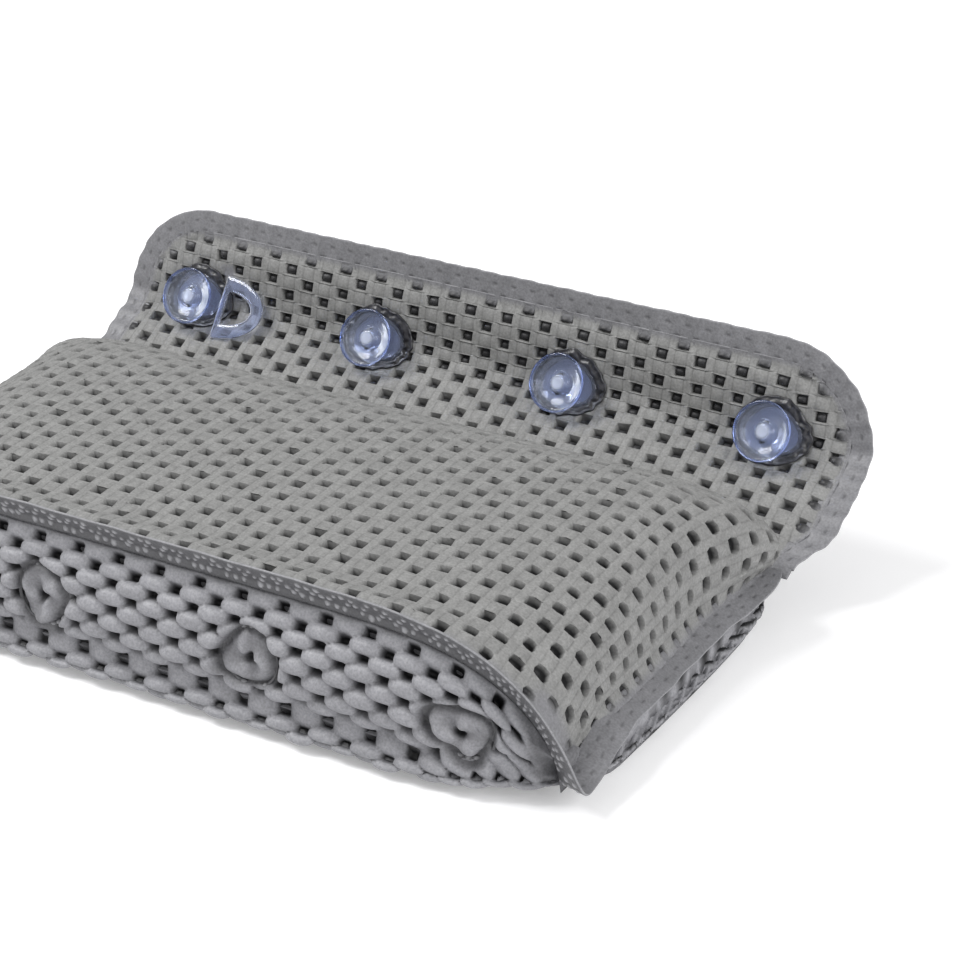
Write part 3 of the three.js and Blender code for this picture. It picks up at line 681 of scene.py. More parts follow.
def foamed_pvc(name, base, colours, roughness):
    """Foamed PVC net, moulded: a soft satin grey, mottled, with fine pores, painted shade in creases and at
    hole bottoms, smoother in a weld, paler on a cut edge and with painted highlights on dot tops. pit,
    crease_shade, weld and pale_edge_and_highlight are the piece's attributes."""
    material, tree = fresh_material(name)
    mottle, grain = noise(tree, 6, 3.0), noise(tree, 0.8, 2.0)
    pit, crease_shade, weld, pale_edge_and_highlight = (attribute(tree, key) for key in ("pit", "crease_shade", "weld", "pale_edge_and_highlight"))
    tint = carried(tree, mottle, 0.9, 1.1, 0.3, 0.7)
    speck = carried(tree, grain, 0.84, 1.16, 0.3, 0.7)
    # Painted shade: creases darken the colour down to 0.42 of its tone.
    shaded = carried(tree, crease_shade, 1.0, 0.42)
    tone = combined(tree, "MULTIPLY", combined(tree, "MULTIPLY", tint, speck), shaded)
    pressed = blended(tree, weld, (*base, 1), (*colours.weld, 1))
    # A paler cut edge, and painted highlights on the tops of dots.
    pressed = blended(tree, pale_edge_and_highlight, pressed, (*colours.edge_and_highlight, 1))
    # Painted shade at the bottoms of holes, blended towards a near-black colour.
    bottom = carried(tree, pit, 0.0, 1.0, 0.05, 0.75)
    finish_material(tree, {
        "Base Color": blended(tree, bottom, toned(tree, pressed, tone), (*colours.pit_shade, 1)),
        "Roughness": carried(tree, weld, roughness, 0.45),
        "Normal": bumps(tree, grain, 0.5, 0.25),
        "IOR": 1.45,
    })
    return material


def clear_pvc(colours):
    """Soft clear PVC, moulded: glossy and clear, blue-violet along its lip and milky in its thick hub.
    tint and milk are the piece's attributes."""
    material, tree = fresh_material("clear soft PVC")
    tint, milk = attribute(tree, "tint"), attribute(tree, "milk")
    finish_material(tree, {
        "Base Color": blended(tree, tint, (*colours.clear, 1), (*colours.clear_depth, 1)),
        "Roughness": 0.06,
        "IOR": 1.35,
        "Transmission Weight": carried(tree, milk, 0.97, 0.3),
        "Normal": bumps(tree, noise(tree, 5, 1.0), 0.2, 0.3),
    })
    return material


def polyester_fibre(colours):
    """Loose polyester fibre: white, dull and cloudy, in wisps of about three millimetres."""
    material, tree = fresh_material("polyester fibre")
    strands = noise(tree, 3, 6.0, 1.5)
    finish_material(tree, {
        "Base Color": (*colours.fibre, 1), "Roughness": 0.95, "Normal": bumps(tree, strands, 0.6, 1),
    })
    return material


def fused_ring(colours):
    """Net melted and smeared by the welding tool: nearly black, wet-looking, ragged."""
    material, tree = fresh_material("fused PVC ring")
    smear = noise(tree, 1.6, 4.0)
    tone = carried(tree, smear, 0.4, 1.9, 0.35, 0.75)
    finish_material(tree, {
        "Base Color": toned(tree, colours.fused, tone),
        "Roughness": 0.3,
        "IOR": 1.5,
        "Normal": bumps(tree, smear, 0.7, 0.5),
    })
    return material


# Cushion pieces

CAGE = (31, 61)  # rows and columns of points on each panel of the cloth cage
CAGE_FRAMES = 20
swollen = {}  # movement of each panel at the cage's points, once the stuffing has shaped them


def cage_sheet(surface, c, far_b):
    """A panel's plain surface at the cage's points."""
    b = np.linspace(NEAR_B, far_b, CAGE[0])[:, None]
    return surface(c, np.linspace(-EDGE_A, EDGE_A, CAGE[1])[None, :], b)


def blow_up(c, draw_in=2.5 * MM, cap=3 * MM):
    """How far the stuffing moves the back and the front panel out of their plain shapes, on a coarse cage.

    Both panels make one closed cage, drawn in a little. It is blown up as cloth with its rim and its tufts
    held, and no point ends further than the cap from its plain place.
    """
    plain = np.stack([cage_sheet(back_surface, c, BACK_FAR_B), cage_sheet(front_surface, c, FRONT_FAR_B)])
    rows, columns = CAGE
    i, j = np.arange(rows)[:, None], np.arange(columns)[None, :]
    from_rim = np.minimum(np.minimum(i, rows - 1 - i), np.minimum(j, columns - 1 - j))
    loose = smoothstep(from_rim, 0, 3)
    free = np.stack([loose, loose])
    for tuft_x, tuft_z in zip(*tuft_places(c)):
        tuft = wall_point(c, np.array(tuft_x), np.array(tuft_z))
        away = np.linalg.norm(plain[1] - tuft, axis=-1) / c.tuft_radius
        free[1] *= smoothstep(away, 0.7, 1.6)
    outwards = np.stack([surface_normals(plain[0]), -surface_normals(plain[1])])
    start = plain - outwards * (draw_in * free)[..., None]
    faces = [grid_faces(rows, columns, 0, True), grid_faces(rows, columns, rows * columns)]
    cage = new_piece("swell_cage", start, [*faces, closing_walls(rows, columns)], None)
    held = cage.vertex_groups.new(name="held")
    held.add(np.flatnonzero(free.ravel() < 0.3).tolist(), 1.0, "REPLACE")
    cloth = cage.modifiers.new("stuffing", "CLOTH").settings
    cloth.quality = 6
    cloth.tension_stiffness = cloth.compression_stiffness = 25
    cloth.bending_stiffness = 4
    cloth.use_pressure = True
    cloth.uniform_pressure_force = 4
    cloth.vertex_group_mass = "held"
    cloth.effector_weights.gravity = 0
    for number in range(1, CAGE_FRAMES + 1):
        bpy.context.scene.frame_set(number)
    blown = cage.evaluated_get(bpy.context.evaluated_depsgraph_get()).data
    points = np.empty(len(blown.vertices) * 3, np.float32)
    blown.vertices.foreach_get("co", points)
    bpy.context.scene.frame_set(1)
    bpy.data.meshes.remove(cage.data)
    moved = points.reshape(plain.shape) - plain
    length = np.linalg.norm(moved, axis=-1, keepdims=True)
    return moved * np.minimum(1, cap / np.maximum(length, 1e-9)) * loose[None, ..., None]


def swell_at(panel, a, b, far_b):
    """Movement of a panel at a and b, smooth between the lines of the cage."""
    if panel not in swollen:
        return np.zeros((*a.shape, 3))
    table = catmull_rom(swollen[panel], np.linspace(0, 1, 4 * CAGE[0] - 3))
    table = catmull_rom(table.swapaxes(0, 1), np.linspace(0, 1, 4 * CAGE[1] - 3)).swapaxes(0, 1)
    rows, columns = table.shape[:2]
    i = np.clip((b - NEAR_B) / (far_b - NEAR_B), 0, 1) * (rows - 1)
    j = np.clip((a / EDGE_A + 1) / 2, 0, 1) * (columns - 1)
    i0, j0 = np.minimum(i.astype(int), rows - 2), np.minimum(j.astype(int), columns - 2)
    di, dj = (i - i0)[..., None], (j - j0)[..., None]
    nearer = mix(table[i0, j0], table[i0, j0 + 1], dj)
    return mix(nearer, mix(table[i0 + 1, j0], table[i0 + 1, j0 + 1], dj), di)


def panel_tables(surface, c, far_b):
    """Distance against a across the middle of a panel, and against b down its middle."""
    a, b = np.sin(np.linspace(-0.5, 0.5, 1601) * np.pi), np.linspace(NEAR_B, far_b, 1601)
    girth = run_lengths(surface(c, a, np.full_like(a, 0.5)))
    return girth, a, run_lengths(surface(c, np.zeros_like(b), b)), b


def plain_normals(surface, c, a, b, step=4e-4):
    """Unit normals of a plain panel, up, from small steps across and along it."""
    across = surface(c, a + step, b) - surface(c, a - step, b)
    along = surface(c, a, b + step) - surface(c, a, b - step)
    return unit(np.cross(across, along))


def build_panel(name, node, base, outwards, other, relief, fade, sunk, depth, net, lines, material, slot):
    """A panel of the cushion: its swollen surface, moved out along its normals by the net's relief."""
    height, pit, crease_shade, weld = relief
    across, along = lines
    between = np.linalg.norm(other - base, axis=-1)
    depth = np.minimum(depth, 0.36 * between)
    outer = base + outwards * (fade * height - sunk - depth * pit * fade)[..., None]
    outer[..., 2] = np.maximum(outer[..., 2], 0)
    coarse = np.ix_(along.coarse, across.coarse)
    lining = np.minimum(net.hole_depth + net.backing, 0.42 * between)
    inner = (base - outwards * (sunk + lining)[..., None])[coarse]
    inner[..., 2] = np.maximum(inner[..., 2], 0.6 * MM)
    shown = smoothstep(fade, 0, 0.5)
    # The pit and crease values paint shade into the colour: dark hole bottoms and darker creases.
    values = {"pit": pit * shown, "crease_shade": crease_shade * fade, "weld": np.maximum(weld, 1 - shown)}
    piece = lined_sheet(name, outer, inner, across, along, material, values, slot == "net_back")
    finish_piece(piece, "cushion", slot, node)


class PILLOW_OT_back_panel(bpy.types.Operator):
    """Back panel: the square-hole side of the net, crowned over the stuffing"""

    bl_idname = "pillow.back_panel"
    bl_label = "Back panel"

    def execute(self, context):
        c, net, *_ = sizes(context)
        colours = context.scene.pillow_colours
        girth, a_table, length, b_table = panel_tables(back_surface, c, BACK_FAR_B)
        across = NetLines(0, girth[-1], net.pitch_across, net.hole_across)
        along = NetLines(0, length[-1], net.pitch_along, net.hole_along)
        middles = (np.arange(across.count) + 0.5) * across.half - girth[-1] / 2
        drawn = smoothstep(np.abs(middles), net.pull_start, net.pull_full)[None, :]
        pattern = HoleNet(across, along, 3, drawn)
        a, b = np.interp(pattern.u, girth, a_table), np.interp(pattern.v, length, b_table)
        base = back_surface(c, a, b) + swell_at("back", a, b, BACK_FAR_B)
        most_a = EDGE_A - 5e-4
        outwards = plain_normals(back_surface, c, np.clip(a, -most_a, most_a), b)
        edge_u = np.minimum(pattern.u, girth[-1] - pattern.u)
        edge_v = np.minimum(pattern.v, length[-1] - pattern.v)
        ear = smoothstep(np.abs(a), 0.88, 0.96) * (1 - smoothstep(b, 0.04, 0.12))
        lap = (1 - smoothstep(edge_u, 0, 6 * MM)) * smoothstep(b, 0.02, 0.09)
        tilt = mix(c.side_tilt, 0, smoothstep(b, 0.75, 1))
        way = stack(np.sign(a) * np.cos(tilt), 0, np.sin(tilt))
        base = base + way * (c.side_lap * lap)[..., None] + stack(0, 0, 1.5 * MM * lap)
        fade = smoothstep(edge_u, 1.5 * MM, 4.5 * MM) * smoothstep(edge_v, 0, 2 * MM) * (1 - ear)
        nowhere = np.zeros_like(a)
        relief = pattern.height, pattern.pit, 0.35 * pattern.line, nowhere
        material = foamed_pvc("foamed PVC net back", colours.net_back, colours, 0.62)
        build_panel(
            "back_net", "back_panel", base, outwards, front_surface(c, a, b), relief, fade, nowhere,
            net.hole_depth, net, (across, along), material, "net_back",
        )
        return {"FINISHED"}


def gather_tufts(c, net, plain, height, pit, crease_shade):
    """The front net's relief and painted shade with a tuft at each place, and where it is welded.

    A tuft is a dented ring round a pad. The pad is round in section, gathered into three lobes, with a
    hole in its middle; its outline is a circle that wanders a little, turned on from tuft to tuft.
    """
    weld = np.zeros_like(height)
    for number, (tuft_x, tuft_z) in enumerate(zip(*tuft_places(c))):
        reach = plain - wall_point(c, np.array(tuft_x), np.array(tuft_z))
        turn = np.arctan2(reach[..., 2], reach[..., 0]) + 0.9 * number
        uneven = 1 + 0.12 * np.sin(2 * turn) + 0.1 * np.sin(3 * turn + 1)
        away = np.linalg.norm(reach, axis=-1) / c.tuft_radius * uneven
        inside = 1 - smoothstep(away, 0.76, 0.9)
        gathers = 0.5 + 0.5 * np.cos(3 * turn + 2 * away)
        pad = rise(np.clip((away - 0.46) / 0.42, -1, 1), 2)
        ring = np.exp(-(((away - 0.97) / 0.15) ** 2))
        hole = 1 - smoothstep(away, 0.04, 0.26)
        tuck = mix(net.lozenge_height * pad * (0.35 + 0.65 * gathers), height, 0.25)
        height = mix(height * (1 - 0.9 * ring), tuck, inside) - 1.2 * MM * ring
        # Painted shade in the tuft's groove, between its lobes and round its pad.
        crease_shade = mix(np.maximum(crease_shade, 0.9 * ring), 0.7 * (1 - pad) + 0.5 * (1 - gathers), inside)
        pit = mix(pit * (1 - ring), hole, inside)
        weld = np.maximum(weld, ring)
    return height, pit, crease_shade, weld


class PILLOW_OT_front_panel(bpy.types.Operator):
    """Front panel: the lozenge side of the net, down the near wall and under the cushion"""

    bl_idname = "pillow.front_panel"
    bl_label = "Front panel"

    def execute(self, context):
        c, net, *_ = sizes(context)
        colours = context.scene.pillow_colours
        girth, a_table, length, b_table = panel_tables(front_surface, c, FRONT_FAR_B)
        across, along = EvenLines(0, girth[-1], 0.8 * MM), EvenLines(0, length[-1], 0.8 * MM)
        a = np.interp(across.place, girth, a_table)[None, :]
        b = np.interp(along.place, length, b_table)[:, None]
        a, b = np.broadcast_arrays(a, b)
        plain, other = front_surface(c, a, b), back_surface(c, a, b)
        corner = smoothstep(np.abs(a), 0.92, 0.97) * (1 - smoothstep(b, 0.12, 0.3))
        base = plain + swell_at("front", a, b, FRONT_FAR_B) * (1 - corner)[..., None]
        u, v = run_lengths(plain, axis=1), run_lengths(plain, axis=0)
        middle = u[:, [u.shape[1] // 2]]
        half_u, half_v = half_cell(girth[-1], net.pitch_across), half_cell(length[-1], net.pitch_along)
        lozenges = lozenge_net(net, u - middle + girth[-1] / 2, v, half_u, half_v, seed=5)
        relief = gather_tufts(c, net, plain, *lozenges)
        edge = np.minimum(np.minimum(u, u[:, -1:] - u), np.minimum(v, v[-1:] - v))
        between = np.linalg.norm(other - plain, axis=-1)
        side = smoothstep(np.abs(a), 0.86, 0.93) * smoothstep(b, 0.12, 0.3)
        fade = smoothstep(edge, 0, 2.5 * MM) * smoothstep(between, 2 * MM, 8 * MM)
        fade = fade * (1 - corner) * mix(1, 0.5, side)
        sunk = (net.lozenge_height - LOZENGE_PROUD) * fade
        depth = net.slot_depth * mix(0.25, 1, smoothstep(plain[..., 2], 10 * MM, 24 * MM))
        material = foamed_pvc("foamed PVC net front", colours.net_front, colours, 0.5)
        build_panel(
            "front_net", "front_panel", base, -surface_normals(base), other, relief, fade, sunk, depth, net,
            (across, along), material, "net_front",
        )
        return {"FINISHED"}


EAR_B = 0.28  # share of the depth over which a side rim turns into an ear
EAR_WAY = (0.85, -0.53)  # way out of an ear across and to the near side
RIM_SHARES = np.linspace(0, 1, 24)  # lines over a rim's width, from its root to its cut edge


def smoothed(points, reach):
    """A line of points, each averaged with so many neighbours on either side, the nearest counting most."""
    window = np.hanning(2 * reach + 3)[1:-1]
    padded = np.pad(points, ((reach, reach), (0, 0)), mode="reflect", reflect_type="odd")
    return np.stack([np.convolve(column, window / window.sum(), mode="valid") for column in padded.T], 1)


def rim_path(c, count):
    """Along the cushion's seam as a, b, the rim's way out and its width: left, near and right side.

    Its points lie at even distances along the cut edge, and these distances come second.
    """
    def side(sign, b):
        corner = np.maximum(0, 1 - b / EAR_B) ** 1.4
        turn = np.pi / 2 - c.ear_turn * corner
        tilt = mix(c.side_tilt, 0, np.maximum(corner, smoothstep(b, 0.75, 1)))
        way = stack(sign * np.sin(turn) * np.cos(tilt), -np.cos(turn) * np.cos(tilt), np.sin(tilt))
        width = mix(c.side_rim_width, c.ear_length, corner)
        return np.column_stack([np.full_like(b, sign * EDGE_A), b, way, width])

    def near(a):
        step = 0.5 * (1 - EDGE_A)
        slope = (seam_height(c, a + step) - seam_height(c, a - step)) / (step * c.width)
        upright = unit(stack(-slope, 0, 1)) * math.sin(c.rim_tilt) - (0, math.cos(c.rim_tilt), 0)
        ear = stack(EAR_WAY[0] * np.sign(a), EAR_WAY[1], 0)
        way = unit(mix(upright, ear, (np.abs(a) ** 40)[:, None]))
        width = mix(c.rim_width, c.ear_length, np.abs(a) ** 14)
        return np.column_stack([a, np.full_like(a, NEAR_B), way, width])

    b = np.linspace(NEAR_B, 0.999, 900)
    a = np.linspace(-EDGE_A, EDGE_A, 2400)
    path = np.concatenate([side(-1, b[::-1]), near(a)[1:-1], side(1, b)])
    along = run_lengths(rim_points(c, path, np.array([1.0]))[0][:, 0])
    even = np.linspace(0, along[-1], count)
    path = np.stack([np.interp(even, along, column) for column in path.T], 1)
    root = (back_surface(c, path[:, 0], path[:, 1]) + front_surface(c, path[:, 0], path[:, 1])) / 2
    tips = smoothed(root + unit(path[:, 2:5]) * path[:, 5:], 30)
    path[:, 2:5] = unit(tips - root)
    path[:, 5] = np.linalg.norm(tips - root, axis=1)
    path[:, 5] *= 1 + 0.02 * np.sin(even / (5 * MM)) + 0.015 * np.sin(even / (2.7 * MM) + 1)
    return path, even


def rim_taper(c, reach):
    """Half-thickness of a rim, which thins as the square of the share of its width from the root."""
    return c.rim_thickness / 2 * mix(1, 0.45, reach ** 2)


def rim_points(c, path, reach):
    """Middle of the rim, its half-thickness and its upward way, for shares of its width from the root."""
    a, b, way, width = path[:, 0], path[:, 1], unit(path[:, 2:5]), path[:, 5]
    top, bottom = back_surface(c, a, b), front_surface(c, a, b)
    root = (top - bottom) / 2
    length = np.linalg.norm(root, axis=1, keepdims=True)
    past_near = np.maximum(smoothstep(b, 0.03, 0.15), smoothstep(np.abs(a), 0.94, 0.985))
    most = mix(1.8, 0.9, past_near)[:, None] * c.rim_thickness
    root = root * np.minimum(1, most / np.maximum(length, 1e-9))
    square = unit(root - (root * way).sum(1, keepdims=True) * way)
    middle = (top + bottom)[:, None] / 2 + way[:, None] * (width[:, None] * reach)[..., None]
    thin = rim_taper(c, reach)[None, :, None]
    thick = mix(root[:, None], square[:, None] * thin, smoothstep(reach, 0, 0.3)[None, :, None])
    return middle, thick, np.broadcast_to(square[:, None], middle.shape)


def knurl(along, across, width, pitch):
    """Underside of a weld: three rows of raised dots, uneven in place and size, with some missing."""
    height = np.zeros((len(along), len(across)))
    step = pitch / 5
    rng = np.random.default_rng(12)
    for row, place in enumerate((0.24, 0.52, 0.8)):
        shifted = along / step + row / 3
        nearest = np.round(shifted).astype(int)
        draws = rng.uniform((0.8, -0.5, -0.06), (1.25, 0.5, 0.06), (nearest.max() + 2, 3))
        big, aside, up = draws[nearest].T
        near = (shifted - nearest) * step - 0.6 * MM * aside
        dot = np.hypot(near[:, None], (across[None, :] - place - up[:, None]) * width) / (big[:, None] * MM)
        height += np.where((nearest + row)[:, None] % 4 != 0, rise(np.clip(dot, 0, 1), 2), 0)
    return np.minimum(height, 1)


def dashes(along, across, width, pitch):
    """Upper side of a weld: the squashed holes of the net as short dents, in its rhythm."""
    height = np.zeros((len(along), len(across)))
    step = pitch / 2
    for row, place in enumerate((0.32, 0.68)):
        shifted = along / step + row / 2
        near = (shifted - np.round(shifted)) * step
        far = (across - place) * width
        wide, high = np.exp(-((near / (1.2 * MM)) ** 4)), np.exp(-((far / (0.45 * MM)) ** 2))
        height += wide[:, None] * high[None, :]
    return height


def weld_band(name, middle, thick, square, along, across, width, pitch, material):
    """A welded band: rings of points over its upper side, round its cut edge and back underneath."""
    dents, dots = dashes(along, across, width, pitch), knurl(along, across, width, pitch)
    upper = middle + thick - square * (0.3 * MM * dents)[..., None]
    lower = middle - thick - square * (0.5 * MM * dots)[..., None]
    outwards = unit(middle[:, -1] - middle[:, 0])
    nose = np.linspace(1, -1, 5)[1:-1]
    edge = middle[:, -1:] + thick[:, -1:] * nose[None, :, None]
    edge = edge + outwards[:, None] * (0.3 * MM * rise(nose, 2))[None, :, None]
    sections = np.concatenate([upper, edge, lower[:, ::-1]], axis=1)
    rim = np.ones((len(along), 3))
    # Painted shade in the dents and between the dots, painted highlights on the dots' tops, and a paler cut
    # edge.
    values = {
        "crease_shade": np.concatenate([0.8 * dents, 0 * rim, 0.75 * (1 - dots[:, ::-1])], axis=1),
        "weld": np.concatenate([1 + 0 * dents, rim, 1 + 0 * dots], axis=1),
        "pale_edge_and_highlight": np.concatenate([0 * dents, 0.3 * rim, 0.9 * dots[:, ::-1]], axis=1),
    }
    return capped_bar(name, sections, material, values)


class PILLOW_OT_edge_weld(bpy.types.Operator):
    """Welded rim round the cushion, with an ear at each near corner"""

    bl_idname = "pillow.edge_weld"
    bl_label = "Edge weld"

    def execute(self, context):
        c, net, *_ = sizes(context)
        colours = context.scene.pillow_colours
        material = foamed_pvc("welded PVC rim", colours.net_back, colours, 0.5)
        path, along = rim_path(c, 1700)
        middle, thick, square = rim_points(c, path, RIM_SHARES)
        piece = weld_band(
            "edge_weld_band", middle, thick, square, along, RIM_SHARES, c.rim_width, net.pitch_across,
            material,
        )
        finish_piece(piece, "cushion", "weld", "edge_weld")
        return {"FINISHED"}


class PILLOW_OT_tuft_rings(bpy.types.Operator):
    """Weld rings of the tufts, sunk in the near wall"""

    bl_idname = "pillow.tuft_rings"
    bl_label = "Tuft rings"

    def execute(self, context):
        c, net, *_ = sizes(context)
        colours = context.scene.pillow_colours
        material = foamed_pvc("welded PVC tuft", colours.net_front, colours, 0.5)
        turns = np.linspace(0, 2 * np.pi, 120, endpoint=False)[:, None]
        section = np.linspace(0, 2 * np.pi, 16, endpoint=False)[None, :]
        dots = rise(np.clip(np.abs((turns * 22 / (2 * np.pi)) % 1 - 0.5) / 0.36, 0, 1), 2)
        for number, (tuft_x, tuft_z) in enumerate(zip(*tuft_places(c)), 1):
            shown = dots * smoothstep(np.sin(2 * turns + 2.4 + 0.7 * number), 0.1, 0.6)
            radius = 0.98 * c.tuft_radius + (0.5 + 0.25 * shown) * MM * np.cos(section)
            x, z = tuft_x + radius * np.cos(turns), tuft_z + radius * np.sin(turns)
            lift = (0.3 + 0.6 * shown) * MM * np.sin(section)
            rings = wall_point(c, x, z) + stack(0, net.lozenge_height + 0.7 * MM - lift, 0)
            # Painted highlight on the upper side of the shown dots, painted shade on the rest of the ring.
            painted_highlight = np.broadcast_to(0.7 * shown * (np.sin(section) > 0.2), rings.shape[:2])
            values = {"crease_shade": 0.9 * (1 - painted_highlight), "weld": np.ones_like(painted_highlight), "pale_edge_and_highlight": painted_highlight}
            faces = [ring_faces(len(turns), section.size, closed=True)]
            piece = new_piece(f"tuft_ring_{number}", rings, faces, material, values)
            finish_piece(piece, "cushion", "net_front", f"tuft_button_{number}")
        return {"FINISHED"}


class PILLOW_OT_fibre_fill(bpy.types.Operator):
    """Stuffing between the two panels, and how its pressure shapes them"""

    bl_idname = "pillow.fibre_fill"
    bl_label = "Fibre fill"

    def execute(self, context):
        c, *_ = sizes(context)
        swollen.update(zip(("back", "front"), blow_up(c)))
        a = np.linspace(-0.8, 0.8, 61)[None, :]
        b = np.linspace(0.22, 0.86, 41)[:, None]
        upper, lower = back_surface(c, a, b), front_surface(c, a, b)
        lumps = (0.05 * np.sin(37 * a + 11 * b) * np.sin(23 * b + 5 * a))[..., None]
        layers = np.stack([mix(upper, lower, 0.25 + lumps), mix(upper, lower, 0.74 + lumps)])
        rows, columns = layers.shape[1:3]
        faces = [grid_faces(rows, columns, 0, True), grid_faces(rows, columns, rows * columns)]
        material = polyester_fibre(context.scene.pillow_colours)
        piece = new_piece("fibre_wad", layers, [*faces, closing_walls(rows, columns)], material)
        finish_piece(piece, "cushion", "fibre", "fibre_fill")
        return {"FINISHED"}


# Flap pieces: x across, h along the bent sheet from the hinge, out from its middle on the cup side.

FLAP_LAP = 3.5 * MM  # how far the sheets reach into the rim
FLAP_START = 1.8 * MM  # hinge to the lower edge of the sheets
INNER_FACE = 0.1 * MM  # middle of the flap to a sheet's inner face
SHEET_GAP = 0.15 * MM  # middle of the flap to where a sheet's thickness is counted from
CUP_PRESS = (13 * MM, 15 * MM)  # net pressed flat round a cup, and where it is full again
LOOP_PRESS = (2 * MM, 3.5 * MM)  # the same on either side of the loop's straight side
LOOP_REACH = 14 * MM  # half-length of the patch pressed flat under that side


def flap_middle(f, h):
    """Middle of the flap as y, z and lean: straight, a valley of one radius along the cups, straight."""
    bend_end = f.bend_start + f.bend_radius * (f.lower_lean - f.upper_lean)
    lean = f.lower_lean - (np.clip(h, f.bend_start, bend_end) - f.bend_start) / f.bend_radius
    straight, above = np.minimum(h, f.bend_start), np.maximum(0, h - bend_end)
    y = straight * math.sin(f.lower_lean) + f.bend_radius * (np.cos(lean) - math.cos(f.lower_lean))
    z = straight * math.cos(f.lower_lean) + f.bend_radius * (math.sin(f.lower_lean) - np.sin(lean))
    return y + above * math.sin(f.upper_lean), z + above * math.cos(f.upper_lean), lean


def flap_point(f, x, h, out):
    """A point out from the middle of the flap, square to it."""
    y, z, lean = flap_middle(f, h)
    return stack(x, hinge_y + y - out * np.cos(lean), hinge_z + z + out * np.sin(lean))


def flap_half(f, h, inset):
    """Half-width of the flap's outline at h, drawn in by an inset: flared root, round outer corners."""
    straight_end = f.length - f.corner
    flare = mix(f.root_width, f.width, smoothstep(h, 0, 0.4 * straight_end)) / 2 - inset
    radius = f.corner - inset
    over = np.clip(h - straight_end, 0, radius)
    return np.where(h <= straight_end, flare, f.width / 2 - f.corner + np.sqrt(radius ** 2 - over ** 2))


def cup_line(f):
    """How far up the flap the row of cups lies, in the valley."""
    return f.bend_start + 0.65 * f.bend_radius * (f.lower_lean - f.upper_lean)


def flap_full(f, c, x, h):
    """Thickness of one sheet: puffed in the middle, pressed at the rim and the hinge."""
    low, high = FLAP_START, f.length - c.rim_width
    along = np.clip(2 * (h - low) / (high - low) - 1, -1, 1)
    across = np.clip(x / flap_half(f, h, c.rim_width), -1, 1)
    return mix(f.sheet_edge, f.sheet, rise(along, 6) * rise(across, 24))


def cup_side(f, c, x, h, lift=0.0):
    """A point on the cup side of the flap, or lifted off it."""
    return flap_point(f, x, h, SHEET_GAP + flap_full(f, c, x, h) + lift)


def cup_places():
    """Middle of each cup's base across the flap."""
    boxes = [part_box(f"suction_cup_{number}") for number in CUPS]
    return [(low.x + high.x) / 2 for low, high in boxes]


def border_walls(faces, under):
    """Faces from a sheet's open edges down to the same points of its inner face, numbered on by under."""
    edges = np.stack([faces, np.roll(faces, -1, axis=1)], -1).reshape(-1, 2)
    there, back = edges @ (under, 1), edges @ (1, under)
    start, end = edges[~np.isin(there, back)].T
    return np.stack([end, start, start + under, end + under], 1)


def flap_fade(f, x, h, edge, side):
    """Where a sheet of the flap shows its relief: not at its edges, nor round the cups and the loop."""
    fade = smoothstep(edge, 0.3 * MM, 3 * MM) * smoothstep(h, 2 * MM, 6 * MM)
    if side < 0:
        return fade
    for cup_x in cup_places():
        fade = fade * smoothstep(np.hypot(x - cup_x, h - cup_line(f)), *CUP_PRESS)
    beyond = np.maximum(0, np.abs(h - cup_line(f)) - LOOP_REACH)
    root = x - joints["loop_lift"]["pos_m"][0] + 0.8 * MM
    return fade * smoothstep(np.hypot(root, beyond), *LOOP_PRESS)


def build_flap_sheet(name, node, side, place, relief, c, net, f, material, slot):
    """A sheet of the flap: straight rows of points moved out by the net's relief, trimmed by the rim.

    side is 1 on the cup side, whose net stands on the plain sheet, and -1 behind, where it is sunk in.
    """
    x, h = place
    height, pit, crease_shade = relief
    inset = c.rim_width - FLAP_LAP
    limit = flap_half(f, h, inset)
    inside = np.abs(x) <= limit
    edge = np.minimum(limit - np.abs(x), f.length - inset - h)
    x = np.clip(x, -limit, limit)
    fade = flap_fade(f, x, h, edge, side)
    seat = 0 if side > 0 else net.lozenge_height - LOZENGE_PROUD
    full = flap_full(f, c, x, h) + SHEET_GAP
    shown = full + fade * (height - seat) - np.minimum(net.hole_depth, full - 0.4 * MM) * pit * fade
    outer = flap_point(f, x, h, side * shown)
    inner = flap_point(f, x, h, np.full_like(x, side * INNER_FACE))
    faces = grid_faces(*x.shape, 0, side > 0)
    faces = faces[inside.ravel()[faces].any(axis=1)]
    lining = faces[:, ::-1] + x.size
    faces = np.concatenate([faces, lining, border_walls(faces, x.size)])
    used, corners = np.unique(faces, return_inverse=True)
    hidden = np.zeros_like(x)
    weld = 1 - smoothstep(fade, 0.0, 0.6)
    # Painted shade of the hole bottoms, weaker on the flap, and of the creases.
    values = {"pit": (0.66 * pit * fade, hidden), "crease_shade": (crease_shade * fade, hidden), "weld": (weld, weld)}
    values = {key: np.concatenate(layers).ravel()[used] for key, layers in values.items()}
    points = np.concatenate([outer, inner]).reshape(-1, 3)[used]
    piece = new_piece(name, points, [corners.reshape(-1, 4)], material, values)
    finish_piece(piece, "flap", slot, node)


